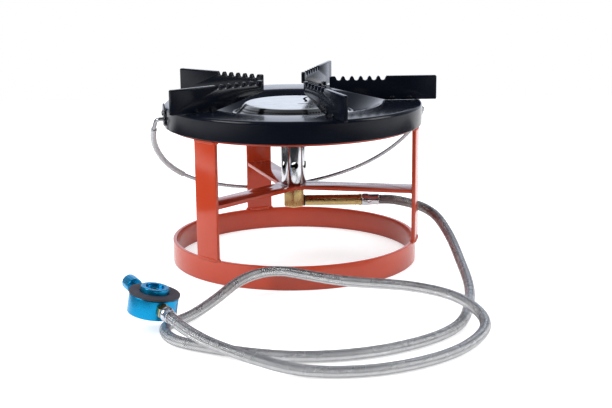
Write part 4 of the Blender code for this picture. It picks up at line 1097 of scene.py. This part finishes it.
WIRE_RADIUS, SLEEVE_RADIUS = 2.1 * mm, 3.3 * mm
HALF_WIDTH, REACH, REST_RADIUS = 149.6 * mm, 177 * mm, 137.75 * mm
RIB_PITCH, RIB_DEPTH = 3.2 * mm, 0.35 * mm
handle_at = (
    Matrix.Translation((0, 0, PIVOT_HEIGHT))
    @ Matrix.Rotation(math.radians(HANDLE_TURN), 4, "Z")
    @ Matrix.Rotation(-math.acos(REST_RADIUS / REACH), 4, "X")
)
wire_steel = Finish("bright_wire", "plated_steel", Metallic=1.0)
drawn = wire_steel.noise(4 * mm, detail=4.0)
wire_shade = wire_steel.mix(drawn, (0.50, 0.51, 0.53), (0.36, 0.37, 0.39))
# Painted shade: the wire's colour darkens where it is seen edge-on.
wire_steel.wear(
    Base_Color=wire_steel.mix(wire_steel.edge_on() ** 1.8, wire_shade, (0.05, 0.05, 0.055)),
    Roughness=wire_steel.span(drawn, 0.25, 0.75, 0.20, 0.34),
    Normal=wire_steel.bump(wire_steel.noise(0.6 * mm), 0.03 * mm, 0.4),
)
eye = [(PAN_RADIUS - 4.3 * mm, 0.0), *arc((HALF_WIDTH - 5 * mm, 5 * mm), 5 * mm, -90, 0, 10)]
half = [eye[-1]] + [
    (across * HALF_WIDTH, ahead * REACH)
    for across, ahead in ((1.005, 0.158), (0.985, 0.305), (0.926, 0.469), (0.825, 0.633),
                          (0.662, 0.791), (0.441, 0.912), (0.214, 0.979))
]
whole = [(x, y, 0.0) for x, y in half + [(0.0, REACH)] + [(-x, y) for x, y in half[::-1]]]
bow, _ = smooth_line(whole, 2 * mm)
wire_line = np.array([(x, y, 0.0) for x, y in eye[:-1]] + bow.tolist()
                     + [(-x, y, 0.0) for x, y in eye[-2::-1]])
add_piece("bent_wire", tidied(tube_mesh("wire", wire_line, WIRE_RADIUS, 24), handle_at),
          wire_steel, body="handle", stands_for="handle_wire")

vinyl = Finish("clear_vinyl_sleeve", "clear_vinyl", Transmission_Weight=0.45, IOR=1.5)
cloudy = vinyl.noise(5 * mm, detail=3.0)
vinyl.clouded(cloudy, (0.94, 0.95, 0.97), (0.84, 0.86, 0.89), (0.12, 0.30),
              vinyl.noise(1.5 * mm), 0.05 * mm, 0.4)
held = bow[(bow[:, 0] < 0) & (bow[:, 1] > 20 * mm) & (bow[:, 1] < 132 * mm)]
held, held_length = smooth_line(held[::3], 0.5 * mm)
ribs = np.linspace(0.0, held_length / RIB_PITCH, len(held)) * math.pi
sleeve_radii = SLEEVE_RADIUS - RIB_DEPTH * (1.0 - np.abs(np.sin(ribs)) ** 0.7)
add_piece("ribbed_sleeve", tidied(tube_mesh("sleeve", held, sleeve_radii, 24), handle_at), vinyl,
          body="handle", stands_for="handle_sleeve")

for side, name in ((0.0, "right"), (180.0, "left")):
    outward = Matrix.Rotation(math.radians(HANDLE_TURN + side), 4, "Z")
    eyelet = [(-7, -5), (-5, -7), *arc((10, 0), 7, -90, 90, 20), (-5, 7), (-7, 5)]
    holes = arc((0, 0), 2.6, 0, 345, 23), arc((6.6, 0), 2.5, 0, 345, 23)
    outlines = [in_mm(outline) for outline in (eyelet, *holes)]
    tab_at = outward @ Matrix.Translation((PAN_RADIUS + 1.05 * mm, 0, PIVOT_HEIGHT)) @ (
        Matrix.Rotation(-math.pi / 2, 4, "Y")
    )
    add_piece(f"eyelet_tab_{name}", cut_sheet("tab", outlines, SHEET, 0.3 * mm, tab_at),
              wire_steel, stands_for=f"handle_tab_{name}")
    rivet = [(0, 143.7), (1.6, 143.5), (2.9, 142.9), (3.6, 142.1), (2.0, 142.1), (2.0, 138.2),
             (2.8, 138.2), (2.5, 137.6), (1.4, 137.3), (0, 137.3)]
    add_piece(f"dome_rivet_{name}",
              turned("rivet", in_mm(rivet), 32, closed=False,
                     at=Matrix.Translation((0, 0, RIVET_HEIGHT)) @ outward @ along_x),
              wire_steel, stands_for=f"tab_rivet_{name}", sharp=50.0)
